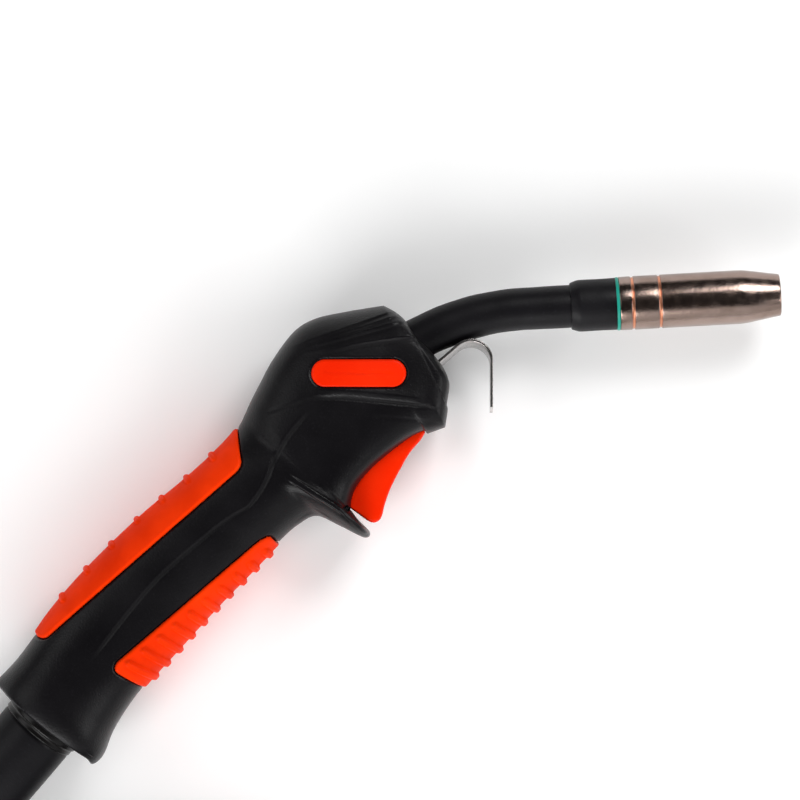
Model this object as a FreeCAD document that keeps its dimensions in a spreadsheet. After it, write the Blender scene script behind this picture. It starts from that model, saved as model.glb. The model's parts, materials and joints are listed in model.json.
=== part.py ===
"""Swan-neck MIG welding torch with its ball-jointed coaxial cable and central plug.

The torch lies on its right side, so the plane between its left and right halves is level,
mid_height above the floor. +X runs from the handle to the nozzle, +Y from the trigger side to the
back of the head, +Z from the right shell to the left shell. Lengths in millimetres, angles in degrees.
"""
import FreeCAD, Part
import math
import os
import re

import Sketcher
from FreeCAD import Placement, Rotation, Vector

SIZES = {
    # whole torch
    "mid_height": 20,
    "shift_x": -0.07,
    "shift_y": 0,
    # nozzle line: start of the collar, and how far the line rises
    "line_x": 60.3,
    "line_y": 70.5,
    "line_rise": 3.15,
    # collar, insulator and gas nozzle, placed along the nozzle line from the collar's rear
    "collar_length": 15.2,
    "collar_od": 17.2,
    "collar_socket": 5,
    "collar_bevel": 0.7,
    "collar_bevel_length": 2.5,
    "insulator_flange": 0.8,
    "insulator_end": 25.5,
    "insulator_od": 11.2,
    "nozzle_start": 16.1,
    "nozzle_length": 53.6,
    "nozzle_od": 17.9,
    "nozzle_tip_od": 13.8,
    "nozzle_tip_bore": 12,
    "nozzle_bore": 14.2,
    "nozzle_cone": 12.3,
    "groove_1": 3.9,
    "groove_2": 12.9,
    "groove_width": 1,
    "groove_depth": 0.4,
    "spring_wire": 1.2,
    "spring_length": 7,
    # contact tip and its holder
    "holder_start": 14,
    "holder_shoulder": 22,
    "holder_end": 40,
    "holder_od": 8.6,
    "gas_hole": 1.6,
    "gas_hole_place": 29,
    "tip_thread": 6,
    "tip_thread_length": 7.9,
    "tip_thread_play": 0.1,
    "tip_od": 6.2,
    "tip_flats_od": 8,
    "tip_flats_length": 4,
    "tip_shoulder": 1,
    "tip_point_od": 4.4,
    "tip_point_length": 3,
    "tip_end": 66.5,
    "tip_bore": 1.2,
    # swan neck
    "neck_straight": 15.3,
    "neck_radius": 85,
    "neck_end_angle": 46.9,
    "sleeve_end_angle": 40,
    "sleeve_od": 14.2,
    "neck_od": 10,
    "neck_bore": 6.4,
    "liner_od": 4.4,
    "liner_bore": 2.2,
    "neck_tail": 8,
    # power coupling and cable core inside the handle, along the handle's centre line
    "coupling_od": 16,
    "coupling_length": 24,
    "crimp_length": 12,
    "crimp_od": 16.4,
    "core_od": 14,
    "core_end": 119,
    "ball_place": 136,
    # handle
    "shell_wall": 2.5,
    "grip_thickness": 1,
    "badge_thickness": 0.5,
    "badge_height": 9,
    "badge_length": 31.3,
    "badge_x": -10.3,
    "badge_y": 48.2,
    "fin_width": 22,
    # trigger and switch
    "pivot_x": 6,
    "pivot_y": 33,
    "pin_od": 3,
    "pin_play": 0.05,
    "pin_length": 28,
    "trigger_width": 15,
    "slot_width": 16.4,
    "trigger_spring_wire": 0.7,
    "trigger_spring_radius": 2.7,
    "trigger_spring_turns": 2.6,
    "spring_seat_od": 9,
    "spring_seat_depth": 3.2,
    "spring_seat_gap": 0.5,
    "switch_length": 12.8,
    "switch_depth": 6.4,
    "switch_width": 5.8,
    "switch_place": 22,
    "switch_offset": 10.1,
    "plunger_od": 2.4,
    "plunger_out": 1.1,
    "plunger_in": 1,
    "plunger_way": 2,
    "terminal_length": 4,
    "terminal_width": 1.8,
    "terminal_thickness": 0.5,
    "terminal_offset": 1.6,
    "switch_wire_od": 1.6,
    "switch_wire_length": 78,
    "screw_od": 3,
    "screw_head_od": 5.6,
    "screw_head_height": 2,
    "screw_sunk": 1.2,
    "screw_reach": 9,
    "screw_slot_width": 0.8,
    "screw_slot_length": 3,
    "boss_od": 6.4,
    "boss_reach": 18,
    "pivot_boss_od": 7,
    "pivot_gap_od": 8,
    # hanger hook
    "hook_thickness": 1,
    "hook_width": 12,
    "hook_radius": 7.35,
    "hook_x": 26.95,
    "hook_y": 51.4,
    "hook_drop": 15.4,
    "hook_foot_angle": 131,
    "hook_foot": 12,
    # ball joint and strain-relief boot
    "ball_radius": 13,
    "ball_gap": 0.3,
    "socket_od": 30.4,
    "socket_half": 6,
    "ball_collar_start": 10,
    "ball_collar_end": 14,
    "ball_collar_od": 28,
    "boot_heading": 229.6,
    "boot_end": 104,
    "boot_od": 26,
    "boot_straight": 42,
    "boot_end_od": 19,
    # cable, coil and plug
    "cable_od": 16,
    "floor_gap": 0.05,
    "lane_inner": 79,
    "lane_step": 16,
    "first_run": 40,
    "outer_lane_span": 250,
    "plug_start": 92,
    "plug_boot_length": 40,
    "plug_boot_od": 19,
    "housing_length": 48,
    "housing_od": 37,
    "housing_wall": 3,
    "housing_mouth": 3,
    "housing_shoulder": 5,
    "housing_slope": 8,
    "nut_length": 22,
    "nut_od": 42,
    "nut_bore": 31,
    "nut_play": 0.3,
    "nut_web": 3.4,
    "nut_bevel": 0.8,
    "core_collar_start": 4,
    "core_collar_end": 7,
    "core_collar_play": 0.6,
    "core_face": 16,
    "plug_core_od": 25,
    "plug_pin_od": 9.5,
    "plug_pin_length": 18,
    "liner_nut_circumradius": 4,
    "liner_nut_height": 3,
    "nipple_od": 5,
    "nipple_length": 9,
    "seal_place": 6,
    "seal_wire": 1.4,
    "nipple_offset": 8.6,
    "control_pin_od": 2.4,
    "control_pin_out": 7,
    "control_pin_in": 1.5,
    "control_pin_way": 6,
    "control_pin_offset": 8.6,
    "control_pin_half_angle": 35,
}

doc = FreeCAD.newDocument("mig_torch")
sheet = doc.addObject("Spreadsheet::Sheet", "sizes")
for row, (alias, number) in enumerate(SIZES.items(), start=1):
    sheet.set(f"A{row}", alias.replace("_", " "))
    sheet.set(f"B{row}", str(number))
    sheet.setAlias(f"B{row}", alias)
doc.recompute()

parts = []


# ---------------------------------------------------------------- helpers

def size(alias):
    """Value of one cell of the sheet."""
    return float(sheet.get(alias))


def bound(text):
    """Expression over the sheet's cells, from one written with their plain names."""
    return re.sub(r"[a-z]\w*", lambda word: "sizes." + word.group(), text)


def value(text):
    """Number that an expression over the sheet's cells comes to."""
    return float(sheet.evalExpression(bound(text)))


def keep(obj, label, placement=None):
    """Name a finished sub-part and put it in its place."""
    obj.Label = label
    if placement is not None:
        obj.Placement = placement
    parts.append(obj)
    return obj


def feature(label, shape, placement):
    """Sub-part whose shape is freeform."""
    obj = doc.addObject("Part::Feature", label)
    obj.Shape = shape
    return keep(obj, label, placement)


def direction(angle, dip=0):
    """Unit vector with a heading in the floor's plane and a dip towards the floor."""
    flat = math.cos(math.radians(dip))
    return Vector(
        flat * math.cos(math.radians(angle)),
        flat * math.sin(math.radians(angle)),
        -math.sin(math.radians(dip)),
    )


def along_x(point, heading, dip=0):
    """Placement that turns a piece's own +X into a heading and a dip."""
    return Placement(point, Rotation(Vector(0, 0, 1), heading) * Rotation(Vector(0, 1, 0), dip))


def torch_point(x, y, z=0):
    """Point given from the torch's symmetry plane."""
    return Vector(x + size("shift_x"), y + size("shift_y"), z + size("mid_height"))


def origin_feature(body, role):
    """Plane or axis of a body's own origin."""
    return next(item for item in body.Origin.OriginFeatures if item.Role == role)


def new_sketch(body, label, role):
    sketch = body.newObject("Sketcher::SketchObject", label)
    sketch.AttachmentSupport = [(origin_feature(body, role), "")]
    sketch.MapMode = "FlatFace"
    return sketch


def bind(sketch, kind, where, text):
    """Driving constraint whose value is an expression over the sheet."""
    index = sketch.addConstraint(Sketcher.Constraint(kind, *where, value(text)))
    sketch.setExpression(f"Constraints[{index}]", bound(text))


def draw_outline(sketch, outline):
    """Closed polygon whose corners are bound to the sheet; "0" puts a corner on an axis."""
    corners = [Vector(value(a), value(b), 0) for a, b in outline]
    count = len(corners)
    for index in range(count):
        sketch.addGeometry(Part.LineSegment(corners[index], corners[(index + 1) % count]))
    for index in range(count):
        sketch.addConstraint(Sketcher.Constraint("Coincident", index, 2, (index + 1) % count, 1))
    for index, (a, b) in enumerate(outline):
        if a == "0":
            sketch.addConstraint(Sketcher.Constraint("PointOnObject", index, 1, -2))
        else:
            bind(sketch, "DistanceX", (-1, 1, index, 1), a)
        if b == "0":
            sketch.addConstraint(Sketcher.Constraint("PointOnObject", index, 1, -1))
        else:
            bind(sketch, "DistanceY", (-1, 1, index, 1), b)


def turned_body(label, outline, placement):
    """Body of revolution about its own X axis; the outline gives (place on the axis, radius)."""
    body = doc.addObject("PartDesign::Body", label)
    sketch = new_sketch(body, label + "_outline", "XY_Plane")
    draw_outline(sketch, outline)
    turn = body.newObject("PartDesign::Revolution", label + "_turn")
    turn.Profile = sketch
    turn.ReferenceAxis = (sketch, ["H_Axis"])
    turn.Angle = 360
    body.Placement = placement
    return body


def turned(label, outline, placement):
    return keep(turned_body(label, outline, placement), label)


def plate_body(label, corners, thickness, placement):
    """Plate of a polygonal outline in its own XY plane, even on both sides of it."""
    body = doc.addObject("PartDesign::Body", label)
    sketch = new_sketch(body, label + "_outline", "XY_Plane")
    points = [Vector(x, y, 0) for x, y in corners]
    for index, point in enumerate(points):
        sketch.addGeometry(Part.LineSegment(point, points[(index + 1) % len(points)]))
    for index in range(len(points)):
        sketch.addConstraint(
            Sketcher.Constraint("Coincident", index, 2, (index + 1) % len(points), 1)
        )
    pad = body.newObject("PartDesign::Pad", label + "_pad")
    pad.Profile = sketch
    pad.Midplane = True
    pad.setExpression("Length", bound(thickness))
    body.Placement = placement
    return body


def rod(label, diameter, length, placement):
    """Cylinder along its own +Z."""
    obj = doc.addObject("Part::Cylinder", label)
    obj.setExpression("Radius", bound(f"{diameter} / 2"))
    obj.setExpression("Height", bound(length))
    obj.Placement = placement
    return obj


def block(label, length, width, height, placement):
    obj = doc.addObject("Part::Box", label)
    obj.setExpression("Length", bound(length))
    obj.setExpression("Width", bound(width))
    obj.setExpression("Height", bound(height))
    obj.Placement = placement
    return obj


def cut(label, base, tool):
    obj = doc.addObject("Part::Cut", label)
    obj.Base = base
    obj.Tool = tool
    return obj


def fuse(label, *pieces):
    obj = doc.addObject("Part::MultiFuse", label)
    obj.Shapes = list(pieces)
    return obj


SPRING_PITCH = 1.25  # pitch of a spring's turns over the thickness of its wire


def spring_shape(mean_radius, wire, length):
    """Coil spring of square wire about its own Z axis."""
    inner = mean_radius - wire / 2
    outer = mean_radius + wire / 2
    corners = [
        Vector(inner, 0, -wire / 2),
        Vector(outer, 0, -wire / 2),
        Vector(outer, 0, wire / 2),
        Vector(inner, 0, wire / 2),
    ]
    helix = Part.makeHelix(SPRING_PITCH * wire, length, mean_radius)
    return Part.Wire(helix).makePipeShell([Part.makePolygon(corners + corners[:1])], True, True)


# ---------------------------------------------------------------- places along the torch

RISE = size("line_rise")
LINE_START = torch_point(size("line_x"), size("line_y"))
FRONT = along_x(LINE_START, RISE)


def on_line(expression):
    """Placement on the nozzle line, at a distance from the collar's rear."""
    return along_x(LINE_START + direction(RISE) * value(expression), RISE)


def neck_point(angle):
    """Point of the neck's centre line where it has turned to an angle."""
    bend_start = LINE_START - direction(RISE) * size("neck_straight")
    centre = bend_start - direction(RISE + 90) * size("neck_radius")
    return centre + direction(angle + 90) * size("neck_radius")


HANDLE_HEADING = size("neck_end_angle") + 180
HANDLE_START = neck_point(size("neck_end_angle"))
BALL = HANDLE_START + direction(HANDLE_HEADING) * size("ball_place")


def in_handle(distance, offset=0, side=0):
    """Point inside the handle: along its centre line, towards the trigger side, and to the left."""
    return (
        HANDLE_START
        + direction(HANDLE_HEADING) * distance
        + direction(HANDLE_HEADING + 90) * offset
        + Vector(0, 0, side)
    )


# ---------------------------------------------------------------- nozzle end

def make_nozzle_end():
    turned("neck_collar", [
        ("0", "sleeve_od / 2"),
        ("collar_socket", "sleeve_od / 2"),
        ("collar_socket", "neck_od / 2"),
        ("collar_length", "neck_od / 2"),
        ("collar_length", "collar_od / 2"),
        ("collar_bevel_length", "collar_od / 2"),
        ("0", "collar_od / 2 - collar_bevel"),
    ], FRONT)
    turned("nozzle_insulator", [
        ("collar_length", "neck_od / 2"),
        ("insulator_end", "neck_od / 2"),
        ("insulator_end", "insulator_od / 2"),
        ("collar_length + insulator_flange", "insulator_od / 2"),
        ("collar_length + insulator_flange", "nozzle_od / 2"),
        ("collar_length", "nozzle_od / 2"),
    ], FRONT)
    body = turned_body("gas_nozzle", [
        ("0", "nozzle_bore / 2"),
        ("nozzle_length - nozzle_cone", "nozzle_bore / 2"),
        ("nozzle_length", "nozzle_tip_bore / 2"),
        ("nozzle_length", "nozzle_tip_od / 2"),
        ("nozzle_length - nozzle_cone", "nozzle_od / 2"),
        ("0", "nozzle_od / 2"),
    ], on_line("nozzle_start"))
    for start in ("groove_1", "groove_2"):
        ring = new_sketch(body, start + "_outline", "XY_Plane")
        draw_outline(ring, [
            (start, "nozzle_od / 2 - groove_depth"),
            (start + " + groove_width", "nozzle_od / 2 - groove_depth"),
            (start + " + groove_width", "nozzle_od / 2 + 1"),
            (start, "nozzle_od / 2 + 1"),
        ])
        groove = body.newObject("PartDesign::Groove", start + "_turn")
        groove.Profile = ring
        groove.ReferenceAxis = (ring, ["H_Axis"])
        groove.Angle = 360
    keep(body, "gas_nozzle")

    wire = size("spring_wire")
    spring_start = LINE_START + direction(RISE) * (value("nozzle_start") + wire)
    feature(
        "nozzle_spring",
        spring_shape((size("insulator_od") + wire) / 2, wire, size("spring_length") - wire),
        Placement(spring_start, Rotation(Vector(0, 0, 1), direction(RISE))),
    )

    body = turned_body("tip_holder", [
        ("holder_start", "tip_bore"),
        ("holder_end - tip_thread_length - tip_thread_play", "tip_bore"),
        ("holder_end - tip_thread_length - tip_thread_play", "tip_thread / 2"),
        ("holder_end", "tip_thread / 2"),
        ("holder_end", "holder_od / 2"),
        ("insulator_end", "holder_od / 2"),
        ("insulator_end", "neck_od / 2"),
        ("holder_shoulder", "neck_od / 2"),
        ("holder_shoulder", "neck_bore / 2"),
        ("holder_start", "neck_bore / 2"),
    ], FRONT)
    face = new_sketch(body, "gas_hole_outline", "XY_Plane")
    face.addGeometry(Part.Circle(Vector(value("gas_hole_place"), 0, 0), Vector(0, 0, 1), 1))
    bind(face, "DistanceX", (-1, 1, 0, 3), "gas_hole_place")
    face.addConstraint(Sketcher.Constraint("PointOnObject", 0, 3, -1))
    bind(face, "Diameter", (0,), "gas_hole")
    hole = body.newObject("PartDesign::Pocket", "gas_hole_cut")
    hole.Profile = face
    hole.Midplane = True
    hole.setExpression("Length", bound("holder_od * 2"))
    ring = body.newObject("PartDesign::PolarPattern", "gas_hole_ring")
    ring.Originals = [hole]
    ring.Axis = (origin_feature(body, "X_Axis"), [""])
    ring.Angle = 180
    ring.Occurrences = 3
    body.Tip = ring
    keep(body, "tip_holder")

    turned("contact_tip", [
        ("holder_end - tip_thread_length", "tip_bore / 2"),
        ("tip_end", "tip_bore / 2"),
        ("tip_end", "tip_point_od / 2"),
        ("tip_end - tip_point_length", "tip_od / 2"),
        ("holder_end + tip_flats_length + tip_shoulder", "tip_od / 2"),
        ("holder_end + tip_flats_length", "tip_flats_od / 2"),
        ("holder_end", "tip_flats_od / 2"),
        ("holder_end", "tip_thread / 2"),
        ("holder_end - tip_thread_length", "tip_thread / 2"),
    ], FRONT)


# ---------------------------------------------------------------- swan neck

def neck_pipe(label, start, outside, bore, end_angle, tail=None):
    """Pipe along the neck's centre line, from a place on the nozzle line back into the head."""
    body = doc.addObject("PartDesign::Body", label)
    spine = new_sketch(body, label + "_spine", "XY_Plane")
    first = value(f"neck_straight + {start}")
    radius = size("neck_radius")
    turn = math.radians(value(f"{end_angle} - line_rise"))
    bend = Part.ArcOfCircle(
        Part.Circle(Vector(first, radius, 0), Vector(0, 0, 1), radius),
        -math.pi / 2, -math.pi / 2 + turn,
    )
    spine.addGeometry(Part.LineSegment(Vector(0, 0, 0), Vector(first, 0, 0)))
    spine.addGeometry(bend)
    spine.addConstraint(Sketcher.Constraint("Coincident", 0, 1, -1, 1))
    spine.addConstraint(Sketcher.Constraint("Horizontal", 0))
    spine.addConstraint(Sketcher.Constraint("Tangent", 0, 2, 1, 1))
    bind(spine, "DistanceX", (-1, 1, 0, 2), f"neck_straight + {start}")
    bind(spine, "Radius", (1,), "neck_radius")
    if tail:
        end = Vector(first + radius * math.sin(turn), radius - radius * math.cos(turn), 0)
        ahead = Vector(math.cos(turn), math.sin(turn), 0) * value(tail)
        spine.addGeometry(Part.LineSegment(end, end + ahead))
        spine.addConstraint(Sketcher.Constraint("Tangent", 1, 2, 2, 1))
        bind(spine, "Distance", (2,), tail)
        bind_angle(spine, 2, end_angle)
    else:
        bind_angle(spine, 1, end_angle)
    ring = new_sketch(body, label + "_section", "YZ_Plane")
    for text in (outside, bore):
        index = ring.addGeometry(Part.Circle(Vector(0, 0, 0), Vector(0, 0, 1), value(text) / 2))
        ring.addConstraint(Sketcher.Constraint("Coincident", index, 3, -1, 1))
        bind(ring, "Diameter", (index,), text)
    pipe = body.newObject("PartDesign::AdditivePipe", label + "_pipe")
    pipe.Profile = ring
    pipe.Spine = spine
    body.Placement = along_x(LINE_START + direction(RISE) * value(start), RISE + 180)
    return keep(body, label)


def bind_angle(spine, geometry, end_angle):
    """Angle of a sketched line or arc, equal to the neck's turn."""
    turn = f"{end_angle} - line_rise"
    index = spine.addConstraint(
        Sketcher.Constraint("Angle", geometry, math.radians(value(turn)))
    )
    spine.setExpression(f"Constraints[{index}]", f"({bound(turn)}) * 1 deg")


def make_neck():
    neck_pipe("neck_sleeve", "collar_socket", "sleeve_od", "neck_od", "sleeve_end_angle")
    neck_pipe("neck_tube", "holder_shoulder", "neck_od", "neck_bore", "neck_end_angle", "neck_tail")
    neck_pipe("wire_liner", "holder_start", "liner_od", "liner_bore", "neck_end_angle",
              "coupling_length")


# ---------------------------------------------------------------- inside the handle

def make_handle_core():
    """Power coupling that clamps the neck, and the cable's core, crimped into it."""
    here = along_x(HANDLE_START, HANDLE_HEADING)
    turned("power_coupling", [
        ("0", "neck_od / 2"),
        ("neck_tail", "neck_od / 2"),
        ("neck_tail", "liner_od / 2"),
        ("coupling_length", "liner_od / 2"),
        ("coupling_length", "coupling_od / 2"),
        ("0", "coupling_od / 2"),
    ], here)
    turned("cable_core", [
        ("coupling_length", "0"),
        ("core_end", "0"),
        ("core_end", "core_od / 2"),
        ("coupling_length", "core_od / 2"),
    ], here)
    turned("crimp_sleeve", [
        ("coupling_length", "core_od / 2"),
        ("coupling_length + crimp_length", "core_od / 2"),
        ("coupling_length + crimp_length", "crimp_od / 2"),
        ("coupling_length", "crimp_od / 2"),
    ], here)


# ---------------------------------------------------------------- handle shells and grips

# Sections across the handle and head, from the rear bell to the nose: the back point, the point
# on the trigger side, and half the width, all from the symmetry plane.
SECTIONS = [
    ((-130.0, -54.0), (-98.2, -82.5), 19.85),
    ((-125.2, -47.9), (-95.0, -77.5), 19.4),
    ((-119.8, -40.7), (-90.9, -68.6), 18.2),
    ((-113.0, -30.3), (-84.8, -59.3), 17.2),
    ((-105.0, -21.3), (-75.0, -48.6), 17.0),
    ((-90.0, -5.3), (-60.0, -31.9), 17.0),
    ((-75.0, 7.9), (-45.0, -17.0), 17.0),
    ((-60.0, 21.0), (-33.0, -4.3), 17.2),
    ((-49.5, 31.0), (-24.0, 0.9), 17.8),
    ((-43.6, 43.5), (-15.5, 5.0), 18.4),
    ((-37.0, 57.0), (-9.5, 13.5), 18.9),
    ((-27.0, 65.6), (-2.0, 21.3), 19.2),
    ((-15.0, 68.9), (7.0, 28.0), 19.2),
    ((-3.0, 70.2), (15.5, 29.6), 18.6),
    ((4.0, 66.2), (18.6, 32.5), 17.0),
    ((9.5, 58.5), (19.5, 42.5), 11.0),
]
MOUTH_SECTION = ((-135.5, -61.0), (-104.0, -90.0), 20.0)  # where the hollow runs out of the bell
HOLLOW_SECTIONS = 14  # the hollow ends before the last sections, behind the nose
SECTION_POWER = 2.5
SECTION_POINTS = 16
SEAM_STEPS = 2.5  # the sections' seams stay off the symmetry plane, where the shells part
REACH = 60  # further than any part of the handle is from the symmetry plane


def section_wire(back, front, half_width, grow):
    """Closed smooth section: a superellipse across the handle."""
    back = Vector(*back, 0)
    front = Vector(*front, 0)
    middle = (back + front) / 2
    reach = (front - back).Length / 2 + grow
    ahead = (front - back).normalize()
    points = []
    for index in range(SECTION_POINTS):
        turn = 2 * math.pi * (index + SEAM_STEPS) / SECTION_POINTS
        across = math.copysign(abs(math.cos(turn)) ** (2 / SECTION_POWER), math.cos(turn))
        aside = math.copysign(abs(math.sin(turn)) ** (2 / SECTION_POWER), math.sin(turn))
        points.append(middle + ahead * reach * across + Vector(0, 0, (half_width + grow) * aside))
    curve = Part.BSplineCurve()
    curve.interpolate(points, PeriodicFlag=True)
    return Part.Wire(curve.toShape())


def lofted(sections, grow=0):
    return Part.makeLoft([section_wire(*item, grow) for item in sections], True, True)


def prism(corners, low, high):
    """Upright prism between two heights, from a polygon given from the symmetry plane."""
    points = [Vector(x, y, low) for x, y in corners]
    return Part.Face(Part.makePolygon(points + points[:1])).extrude(Vector(0, 0, high - low))


FIN = [(-34, 8), (-27.6, 8.5), (-16.3, 3.3), (-6.7, -5.1), (-7.9, -6.5), (-11.2, -4.6), (-17.3, -1.8),
       (-21.9, 0.3), (-24.7, 0.7), (-30, -1.5)]
TRIGGER = [(11.5, 29.9), (11.5, 28.3), (10.1, 25.9), (6.5, 21.7), (3.6, 16.7), (1.2, 12.2),
           (-0.4, 8.6), (-1.8, 4.5), (-2.7, 0.9), (-3.6, -0.6), (-5.5, -1.3), (-7.4, -0.8),
           (-13.2, 3.4), (-18.3, 7.4), (-16.3, 9.6), (-13.2, 13), (-10.5, 19.3), (-4.5, 26.5), (2.2, 31),
           (2.2, 34.8), (4.5, 37), (7.8, 37), (10, 35)]
SLOT = [(13.2, 31), (14.5, 22), (0, -4), (-6.2, -5.2), (-16.6, 4.1), (-21, 8), (-19.5, 13.5),
        (-14, 22), (-8, 29.5), (-1, 34), (0.4, 38.5), (11.4, 38.5), (12.8, 34)]
BACK_GRIP = [(-46, 33), (-50.2, 29), (-49.1, 18.9), (-50.7, 16.1), (-114.4, -39.3), (-119.5, -38),
             (-130, -30), (-70, 40)]
FINGER_GRIP = [(-30, -14), (-37.2, -8.5), (-40.1, -6.2), (-42.7, -7), (-89.9, -47.2), (-90.3, -49.1),
               (-82, -55.9), (-70, -62)]


def stadium(length, height, low, high):
    """Plate with two half-round ends."""
    middle = Part.makeBox(length - height, height, high - low,
                          Vector(-(length - height) / 2, -height / 2, low))
    ends = [
        Part.makeCylinder(height / 2, high - low, Vector(side * (length - height) / 2, 0, low))
        for side in (-1, 1)
    ]
    return middle.fuse(ends).removeSplitter()


def screw_places():
    """Places of the four shell screws, from the symmetry plane."""
    on_handle = [in_handle(distance, offset) for distance, offset in ((35, -11.5), (100, -11.5))]
    base = torch_point(0, 0)
    return [point - base for point in on_handle] + [Vector(-27, 51, 0), Vector(13.3, 42.5, 0)]


def neck_way():
    """Space of the neck sleeve, from the symmetry plane."""
    base = torch_point(0, 0)
    start = LINE_START - base
    bend_start = start - direction(RISE) * size("neck_straight")
    middle_angle = (RISE + size("sleeve_end_angle")) / 2
    bend = Part.Arc(bend_start, neck_point(middle_angle) - base,
                    neck_point(size("sleeve_end_angle")) - base)
    line = Part.Wire([Part.LineSegment(start, bend_start).toShape(), bend.toShape()])
    ring = Part.makeCircle(size("sleeve_od") / 2 + 0.05, start, -direction(RISE))
    return line.makePipeShell([Part.Wire(ring)], True, False)


def handle_shell(outer, inner, half_space, ways):
    """One half of the hollow handle, with its bosses; ways are the spaces cut through its wall."""
    half = outer.common(half_space)
    half_fin = size("fin_width") / 2
    half_slot = size("slot_width") / 2
    shell = half.fuse(prism(FIN, -half_fin, half_fin).common(half_space))
    shell = shell.cut(inner.common(half_space))
    shell = shell.cut(prism(SLOT, -half_slot, half_slot))
    for way in ways:
        shell = shell.cut(way)
    boss_height = Vector(0, 0, size("boss_reach"))
    for place in screw_places():
        boss = Part.makeCylinder(size("boss_od") / 2, value("2 * boss_reach"), place - boss_height)
        shell = shell.fuse(boss.common(half))
        shell = shell.cut(screw_shapes(place, side_height(outer, place))[1])
    pivot = Vector(size("pivot_x"), size("pivot_y"), 0)
    boss = Part.makeCylinder(size("pivot_boss_od") / 2, value("2 * boss_reach"), pivot - boss_height)
    gap = Part.makeCylinder(size("pivot_gap_od") / 2, 2 * half_slot, pivot - Vector(0, 0, half_slot))
    half_pin = Vector(0, 0, size("pin_length") / 2)
    pin_hole = Part.makeCylinder(size("pin_od") / 2, size("pin_length"), pivot - half_pin)
    return shell.cut(pin_hole).fuse(boss.common(half).cut([gap, pin_hole]))


def make_handle():
    middle = Placement(torch_point(0, 0), Rotation())
    outer = lofted(SECTIONS)
    inner = lofted([MOUTH_SECTION] + SECTIONS[:HOLLOW_SECTIONS], -size("shell_wall"))
    hook_way = hook_body.Shape.copy()
    hook_way.translate(-torch_point(0, 0))
    ways = [neck_way(), hook_way]
    span = outer.BoundBox
    span.enlarge(REACH)
    for label, base in (("handle_shell_left", 0), ("handle_shell_right", -REACH)):
        half_space = Part.makeBox(span.XLength, span.YLength, REACH, Vector(span.XMin, span.YMin, base))
        feature(label, handle_shell(outer, inner, half_space, ways), middle)
    screws = [screw_shapes(place, side_height(outer, place))[0] for place in screw_places()]
    feature("shell_screws", Part.makeCompound(screws), middle)

    skin = lofted(SECTIONS, size("grip_thickness")).cut(outer)
    feature("back_grip", skin.common(prism(BACK_GRIP, -REACH, REACH)), middle)
    feature("finger_grip", skin.common(prism(FINGER_GRIP, -REACH, REACH)), middle)

    badge_skin = lofted(SECTIONS, size("badge_thickness")).cut(outer)
    for label, low, high in (("badge_left", 0, REACH), ("badge_right", -REACH, 0)):
        plate = stadium(size("badge_length"), size("badge_height"), low, high)
        plate.translate(Vector(size("badge_x"), size("badge_y"), 0))
        feature(label, badge_skin.common(plate), middle)


def side_height(outer, place):
    """Height of the right side's surface at a screw."""
    probe = Part.LineSegment(place - Vector(0, 0, REACH), place).toShape()
    return outer.common(probe).BoundBox.ZMin


def screw_shapes(place, surface):
    """Pan-head screw driven from the right side into the left shell's boss, and the way cut for it."""
    head_radius = size("screw_head_od") / 2
    head = size("screw_head_height")
    slot_width = size("screw_slot_width")
    slot_length = size("screw_slot_length")
    start = Vector(place.x, place.y, surface + size("screw_sunk"))
    shank = Part.makeCylinder(size("screw_od") / 2, size("screw_reach") - start.z, start)
    cap = Part.makeCylinder(head_radius, head, start)
    corner = start - Vector(slot_width / 2, slot_length / 2, 0)
    recess = Part.makeBox(slot_width, slot_length, slot_width, corner)
    outside = Vector(0, 0, size("boss_reach"))
    room = Part.makeCylinder(head_radius, head + outside.z, start - outside)
    return cap.fuse(shank).cut(recess), room.fuse(shank)


# ---------------------------------------------------------------- hanger hook

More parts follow.
